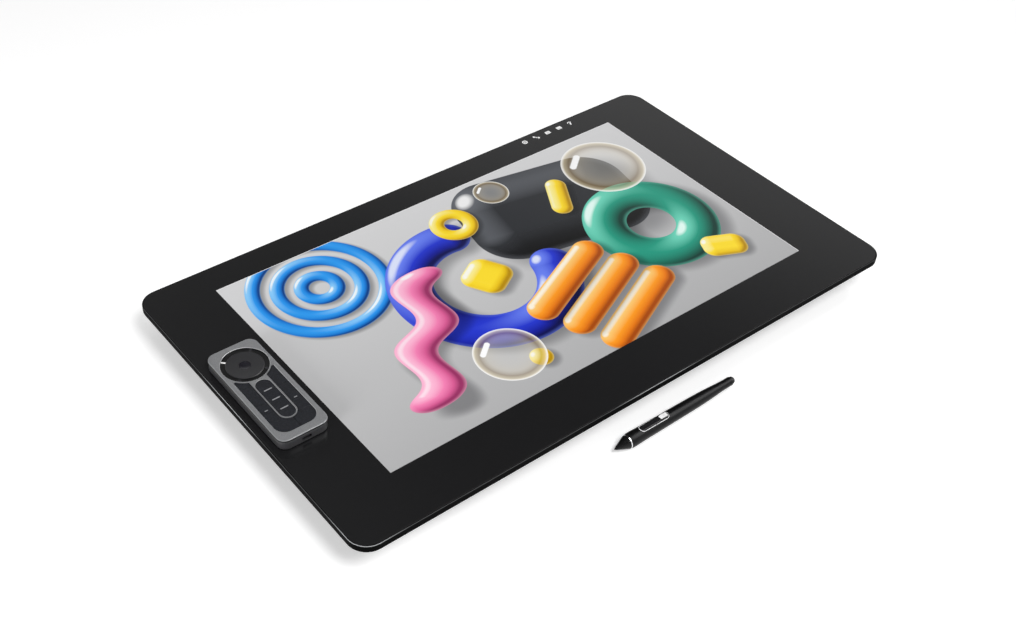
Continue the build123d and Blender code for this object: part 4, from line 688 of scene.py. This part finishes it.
# %% The picture's paint
SHADOW_SPREAD, SHADOW_DEPTH = 1.25, 0.55
EDGE_LINE, EDGE_SOFTNESS = 0.8 * MM, 0.3 * MM
PICTURE_LOW, PICTURE_HIGH = PICTURE_MIDDLE - PICTURE_SIZE / 2, PICTURE_MIDDLE + PICTURE_SIZE / 2
picture_paint, tree, shader = surface("picture_under_etched_glass", "#c8c8c8", 0.21, IOR=1.5)
where = places(tree)
split = add(tree, "SeparateXYZ", {0: where}).outputs
fade = add(tree, "MapRange", {"Value": split["Y"], "From Min": PICTURE_LOW[1], "From Max": PICTURE_HIGH[1]})
art = add(tree, "Mix", {0: fade, 6: linear("#b0b0b1"), 7: linear("#d9d9da")}, data_type="RGBA")
for form, middle, radius, turn, needs, tones in FORMS:
    shadow_middle = (middle[0] + 0.30 * radius, middle[1] - 0.42 * radius)
    wider = needs if form is bow else (tuple(v / SHADOW_SPREAD for v in needs[0]), *needs[1:])
    slope = form(tree, where, shadow_middle, SHADOW_SPREAD * radius, turn, *wider)
    art = shaded(tree, art, slope, SHADOW_DEPTH)
    art = painted(tree, art, form(tree, where, middle, radius, turn, *needs), turn, radius, tones)
for middle, radius in LENSES:
    art = lens(tree, where, art, middle, radius)
line_x, line_y = PICTURE_HIGH - EDGE_LINE
back = add(tree, "MapRange", {"Value": split["Y"], "From Min": line_y, "From Max": line_y + EDGE_SOFTNESS})
side = add(tree, "MapRange", {"Value": split["X"], "From Min": line_x, "From Max": line_x + EDGE_SOFTNESS})
border = add(tree, "Math", {0: back, 1: side}, operation="MAXIMUM")
art = add(tree, "Mix", {0: border, 6: art, 7: linear("#f2f2f2")}, data_type="RGBA")
tree.links.new(art.outputs[2], shader.inputs["Base Color"])
print("nodes in the picture's material:", len(tree.nodes))

# %% [markdown]
# The paint goes on a flat sheet three hundredths of a millimetre over the glass. The sheet has
# its own UV layer, which runs from nought to one along both sides.

# %% The sheet of the picture
u = np.linspace(-0.5, 0.5, 9)[:, None] * PICTURE_SIZE[0] + PICTURE_MIDDLE[0]
v = np.linspace(-0.5, 0.5, 6)[None, :] * PICTURE_SIZE[1] + PICTURE_MIDDLE[1]
sheet_points = np.stack(np.broadcast_arrays(u, v, PICTURE_Z), axis=-1)
picture = piece("screen_picture", sheet_points, "display", picture_paint)
layer = picture.data.uv_layers.new(name="picture")
loops = np.zeros(len(picture.data.loops), np.int32)
picture.data.loops.foreach_get("vertex_index", loops)
flat = (sheet_points.reshape(-1, 3)[loops, :2] - PICTURE_MIDDLE) / PICTURE_SIZE + 0.5
layer.data.foreach_set("uv", flat.astype(np.float32).ravel())

# %% [markdown]
# Near the back edge five white marks show where a finger can press. Each is a thin layer of
# print, so each is a flat outline a few hundredths of a millimetre over the glass. Rings, round
# boxes and a table of places are all that the marks need.

# %% Print and its outlines
white_print, tree, shader = surface("white_screen_print", "#ffffff", 0.45)
toned(tree, shader, "#f8f8f8", "#ffffff", 2)
black_print, tree, shader = surface("black_screen_print", "#121213", 0.5)
toned(tree, shader, "#101011", "#161617", 2)
MARK_Z = GLASS_TOP + 0.04 * MM
SECOND_PRINT_Z = MARK_Z + 0.02 * MM
MARKS_BACK = 170.8
MARKS_ACROSS = {"home": 154.4, "settings": 171.5, "keyboard": 188.8, "display": 205.9, "touch": 222.8}
MARK_MIDDLES = {name: PICTURE_MIDDLE + np.array([u, MARKS_BACK]) * MM for name, u in MARKS_ACROSS.items()}


def ring_grid(middle, inner, outer, start=0.0, end=360.0, z=MARK_Z, count=33):
    """Points at two radii over a range of angles."""
    a = np.radians(np.linspace(start, end, count))[:, None]
    r = np.array([inner, outer])[None, :] * MM
    return np.stack(np.broadcast_arrays(middle[0] + r * np.cos(a), middle[1] + r * np.sin(a), z), axis=-1)


def round_box(middle, width, depth, corner, turn=0.0, z=MARK_Z, count=6):
    """A rectangle whose corners are quarter circles, as one closed outline."""
    a = np.radians(np.concatenate([np.linspace(q, q + 90, count) for q in (0, 90, 180, 270)]))
    sign = np.repeat([[1, 1], [-1, 1], [-1, -1], [1, -1]], count, axis=0)
    p = sign * [width / 2 - corner, depth / 2 - corner] + corner * np.stack([np.cos(a), np.sin(a)], axis=1)
    t = math.radians(turn)
    p = p @ np.array([[math.cos(t), math.sin(t)], [-math.sin(t), math.cos(t)]]) * MM
    return np.column_stack([p + middle, np.full(len(p), z)])


def printed(name, outlines, material):
    """One flat piece from closed outlines, each a single face."""
    starts = np.cumsum([0] + [len(o) for o in outlines])
    faces = [list(range(a, b)) for a, b in zip(starts[:-1], starts[1:])]
    return built(name, np.concatenate(outlines), faces, "display", material, smooth=False)


print("marks at (mm):", {name: (middle / MM).round(1).tolist() for name, middle in MARK_MIDDLES.items()})

# %% [markdown]
# The marks are plain signs: a ring with a dot, a spanner, a keyboard, a screen and a finger
# with an arc. Black print on the white shows the keys and the foot of the screen.

# %% Touch marks
home = MARK_MIDDLES["home"]
piece("touch_mark_home_ring", ring_grid(home, 1.9, 3.3), "display", white_print, flip=True)
printed("touch_mark_home_dot", [round_box(home, 2.2, 2.2, 1.09)], white_print)
tool = MARK_MIDDLES["settings"]
t = np.array([0.70, -0.71]) * MM
printed("touch_mark_settings", [round_box(tool, 4.0, 1.5, 0.2, -45), round_box(tool - 2.7 * t, 3.0, 3.0, 1.4),
                                round_box(tool + 2.7 * t, 3.0, 3.0, 1.4)], white_print)
board = MARK_MIDDLES["keyboard"]
printed("touch_mark_keyboard", [round_box(board, 6.8, 5.0, 0.8)], white_print)
key_slots = [round_box(board + np.array([x, y]) * MM, width, 0.5, 0.1, z=SECOND_PRINT_Z)
             for x, y, width in ((-1.8, 0.9, 0.7), (0, 0.9, 0.7), (1.8, 0.9, 0.7), (0, -1.1, 3.2))]
printed("touch_mark_keyboard_slots", key_slots, black_print)
screen = MARK_MIDDLES["display"]
printed("touch_mark_display", [round_box(screen, 6.8, 5.0, 0.8)], white_print)
line_middle = screen + np.array([0, -1.2]) * MM
printed("touch_mark_display_line", [round_box(line_middle, 4.4, 0.45, 0.1, z=SECOND_PRINT_Z)], black_print)
finger = MARK_MIDDLES["touch"]
arc = ring_grid(finger, 2.1, 3.3, 20, 160)
piece("touch_mark_touch_arc", arc, "display", white_print, flip=True)
bar_middle = finger + np.array([0.3, -0.8]) * MM
printed("touch_mark_touch_bar", [round_box(bar_middle, 1.8, 4.6, 0.85, -25)], white_print)

# %% [markdown]
# Where the plate meets the ring, the capsule and the key field, its edge was cut with a
# diamond tool, which leaves a bright line. It is modelled as a thin bead in each edge, whose
# crown is level with the plate.

# %% Bright cut edges of the face plate
cut_edge, tree, shader = surface("diamond_cut_aluminium", "#e2e3e5", 0.34, metallic=0.6)
grained(tree, shader, 0.4, 0.04)
UP = np.array([0.0, 0.0, 1.0])


def bead(path, closed, radius, sides=10):
    """A round bead along a level path: point = path + radius (cos a sideways + sin a up)."""
    along = np.roll(path, -1, 0) - np.roll(path, 1, 0) if closed else np.gradient(path, axis=0)
    sideways = np.stack([along[:, 1], -along[:, 0], np.zeros(len(path))], axis=1)
    sideways /= np.linalg.norm(sideways, axis=1, keepdims=True)
    a = np.linspace(0, 2 * np.pi, sides, endpoint=False)[None, :, None]
    return path[:, None, :] + radius * (np.cos(a) * sideways[:, None, :] + np.sin(a) * UP)


def stadium(middle, half_width, low, high, count=24):
    """Two half circles joined by straight sides, walked anticlockwise."""
    a = np.linspace(0, np.pi, count)
    top = np.stack([half_width * np.cos(a), high - half_width + half_width * np.sin(a)], axis=1)
    bottom = np.stack([-half_width * np.cos(a), low + half_width - half_width * np.sin(a)], axis=1)
    return np.concatenate([top, bottom]) * MM + middle


def edge_line(name, flat, closed, radius=0.32):
    """A bead along a level outline, sunk until its crown is level with the plate."""
    path = np.column_stack([flat, np.full(len(flat), FACE_TOP - radius * MM)])
    points = bead(path, closed, radius * MM)
    columns, last = points.shape[1], points.shape[0] * points.shape[1]
    ends = [] if closed else [list(range(columns))[::-1], list(range(last - columns, last))]
    return piece(name, points, "remote", cut_edge,
                 wrap_rows=closed, wrap_columns=True, extra=ends)


RING_HOLE_RADIUS = 22.9
CAPSULE_HALF, CAPSULE_LOW, CAPSULE_HIGH = 8.1, -42.5, 12.3
FIELD_HALF, FIELD_LOW, FIELD_HIGH, FIELD_CORNER = 21.3, -57.7, 22.0, 12.0
a = np.linspace(0, 2 * np.pi, 96, endpoint=False)
edge_line("ring_edge", RING_MIDDLE + RING_HOLE_RADIUS * MM * np.stack([np.cos(a), np.sin(a)], axis=1), True)
edge_line("capsule_edge", stadium(REMOTE_MIDDLE, CAPSULE_HALF, CAPSULE_LOW, CAPSULE_HIGH), True)
q = np.linspace(0, np.pi / 2, 14)
in_corner = FIELD_CORNER * (1 - np.stack([np.cos(q), np.sin(q)], axis=1))
left = in_corner + [-FIELD_HALF, FIELD_LOW]
right_side = np.stack([-left[::-1, 0], left[::-1, 1]], axis=1)
u_line = np.concatenate([[[-FIELD_HALF, FIELD_HIGH]], left, right_side, [[FIELD_HALF, FIELD_HIGH]]])
edge_line("field_edge", REMOTE_MIDDLE + u_line * MM, False)

# %% [markdown]
# The remote's lower shell stands nearly upright under the plate, with a groove between the two
# and a rounded foot. The solid draws that wall as one straight taper, so a thin skin over it
# adds the form. Every point of the skin is a foot on an inner rectangle plus a way out, along
# the corner's radius less an inset, and the inset depends on the rise: 0 at the pads, 1 under
# the plate. The columns start just in front of the power slider on the right side, run
# clockwise and end just behind it. At both ends they dive under the solid.

# %% Form of the shell's wall
SKIN_CORNER = 9.0
FOOT_X, FOOT_Y = np.array(REMOTE_HIGH - REMOTE_LOW)[:2] / MM / 2 - SKIN_CORNER
SHELL_START, SHELL_HEIGHT = 0.6, 9.4
SHELL_LIP, SHELL_TUCK = 0.5, 4.0
DIVE_DEPTH = 0.25
SLOT_HALF, SLOT_LOW, SLOT_HIGH = 4.7, 0.30, 0.64
BEFORE_SLIDER = [-2, -3, -6, -10, -28, -46]
BEHIND_SLIDER = [40, 26, 21, 20]
RISES = [0, 0, 0.03, 0.07, 0.12, 0.19, SLOT_LOW, 0.38, 0.47, 0.56, SLOT_HIGH, 0.75, 0.83,
         0.86, 0.885, 0.90, 0.95, 1.0, 1.0]
WALL_PROFILE = [(0, 0.70), (0.03, 0.38), (0.07, 0.17), (0.12, 0.06), (0.20, 0.0), (0.83, 0.16),
                (0.86, 0.20), (0.885, 0.34), (0.90, 0.66), (1.0, 0.44)]
LOWEST_INSET, HIGHEST_INSET = 4.7, 0.62
LOWEST_LIFT = 0.05


def skin_columns(steps=9):
    """Feet (mm), angles (clockwise from the right side) and how far each column dives, 0 to 1."""
    turn = np.linspace(0, 90, steps)
    front, left, back = [10, SLOT_HALF, 0, -SLOT_HALF, -10], [-30, 0, 30], [-8, 0, 8]
    near_x = [FOOT_X] * (len(BEFORE_SLIDER) + steps)
    far_x = [-FOOT_X] * (len(left) + 2 * steps)
    x = [*near_x, *front, *far_x, *back, *[FOOT_X] * (steps + len(BEHIND_SLIDER))]
    front_y = [-FOOT_Y] * (len(front) + 2 * steps)
    back_y = [FOOT_Y] * (len(back) + 2 * steps)
    y = [*BEFORE_SLIDER, *front_y, *left, *back_y, *BEHIND_SLIDER]
    angle = [*[0] * len(BEFORE_SLIDER), *turn, *[90] * len(front), *(90 + turn), *[180] * len(left),
             *(180 + turn), *[270] * len(back), *(270 + turn), *[360] * len(BEHIND_SLIDER)]
    dive = [1, 1, 0.5, *[0] * (len(x) - 6), 0.5, 1, 1]
    return np.array([x, y]).T, -np.radians(angle), np.array(dive)


feet, angles, dive = skin_columns()
print("columns round the shell:", len(feet), " rows up its wall:", len(RISES))

# %% [markdown]
# The rows and columns give the grid. Its lowest and highest rows turn inwards, where the pads
# and the plate hide them. Cells in front of the charging slot are left out, as a window.

# %% Upright skin over the remote's shell
rise = np.array(RISES)
skin_inset = np.interp(rise, *np.array(WALL_PROFILE).T)
solid_inset = SHELL_LIP + SHELL_TUCK * (1 - rise)
inset = (1 - dive) * skin_inset[:, None] + dive * (solid_inset[:, None] + DIVE_DEPTH)
inset[0], inset[-1] = LOWEST_INSET, HIGHEST_INSET
ways = np.stack([np.cos(angles), np.sin(angles)], axis=1)
level_points = feet + (SKIN_CORNER - inset)[:, :, None] * ways + REMOTE_MIDDLE / MM
heights = GLASS_TOP / MM + SHELL_START + SHELL_HEIGHT * rise
heights[0] += LOWEST_LIFT
heights = np.broadcast_to(heights[:, None], inset.shape)
skin = np.concatenate([level_points, heights[:, :, None]], axis=2) * MM
in_front = (np.abs(feet[:, 0]) <= SLOT_HALF) & (feet[:, 1] == -FOOT_Y)
in_height = (rise >= SLOT_LOW) & (rise <= SLOT_HIGH)
open_cells = (in_height[:-1] & in_height[1:])[:, None] & (in_front[:-1] & in_front[1:])[None, :]
i, j = np.meshgrid(np.arange(len(rise) - 1), np.arange(len(feet) - 1), indexing="ij")
first, above = i * len(feet) + j, (i + 1) * len(feet) + j
cells = np.stack([first, above, above + 1, first + 1], axis=-1)[~open_cells]
built("shell_skin", skin.reshape(-1, 3), cells.tolist(), "remote", shell_plastic)

# %% [markdown]
# On the pen, a thin bright line frames the two-way switch, and on its rear half a near-white
# patch is a painted highlight. The line follows the barrel: at a distance y to the side of
# the middle, a barrel of radius R is the square root of R squared minus y squared high.

# %% Bright trim and painted highlight of the pen
PEN_LOW, PEN_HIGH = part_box("pen_nib")
PEN_TIP = np.array([PEN_LOW.x, (PEN_LOW.y + PEN_HIGH.y) / 2, (PEN_LOW.z + PEN_HIGH.z) / 2])
PEN_LENGTH, PEN_RADIUS = 157.3, 7.6
ALONG_SHARES = np.array([0.135, 0.19, 0.26, 0.40, 0.58])
RADIUS_SHARES = np.array([0.99, 0.955, 0.93, 0.90, 0.86])
barrel_fit = np.polyfit(ALONG_SHARES * PEN_LENGTH, RADIUS_SHARES * PEN_RADIUS, 3)
silver_foil_and_highlight, tree, shader = surface("satin_silver_foil_and_painted_highlight", "#f6f6f7", 0.4)
grained(tree, shader, 0.6, 0.03)


def on_barrel(x, y, proud):
    """A place on the pen, x along it and y to the side, both in mm."""
    z = np.sqrt(np.polyval(barrel_fit, x) ** 2 - y ** 2) + proud
    return PEN_TIP + np.stack([x, y, z], axis=-1) * MM


SWITCH_MIDDLE, SWITCH_LINE_HALF, SWITCH_LINE_REACH = 49.0, 3.75, 18.15
LINE_RADIUS = 0.3 * MM
loop = stadium(np.zeros(2), SWITCH_LINE_HALF, -SWITCH_LINE_REACH, SWITCH_LINE_REACH, count=20) / MM
line_path = on_barrel(loop[:, 1] + SWITCH_MIDDLE, -loop[:, 0], 0.02)
piece("switch_frame_line", bead(line_path, True, LINE_RADIUS), "pen", silver_foil_and_highlight,
      wrap_rows=True, wrap_columns=True)

SWITCH_TOP = (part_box("pen_switch")[1].z - PEN_TIP[2]) / MM
# Painted highlight: a near-white patch, slightly proud of the switch's rear half.
HIGHLIGHT_MIDDLE, HIGHLIGHT_REACH, HIGHLIGHT_HALF = 60.9, 4.6, 2.3
HIGHLIGHT_PROUD, HIGHLIGHT_SAG = 0.06, 0.04
s = np.linspace(-1, 1, 17)[:, None]
t = np.linspace(-1, 1, 13)[None, :]
x = HIGHLIGHT_MIDDLE + HIGHLIGHT_REACH * s * (1 - 0.04 * t ** 8)
y = HIGHLIGHT_HALF * t * (1 - 0.08 * s ** 8)
z = SWITCH_TOP + HIGHLIGHT_PROUD - HIGHLIGHT_SAG * (t ** 2 + 0.3 * s ** 4)
piece("switch_painted_highlight", PEN_TIP + np.stack([x, y, z], axis=-1) * MM, "pen_switch", silver_foil_and_highlight)

# %% Last update of the scene
bpy.context.view_layer.update()
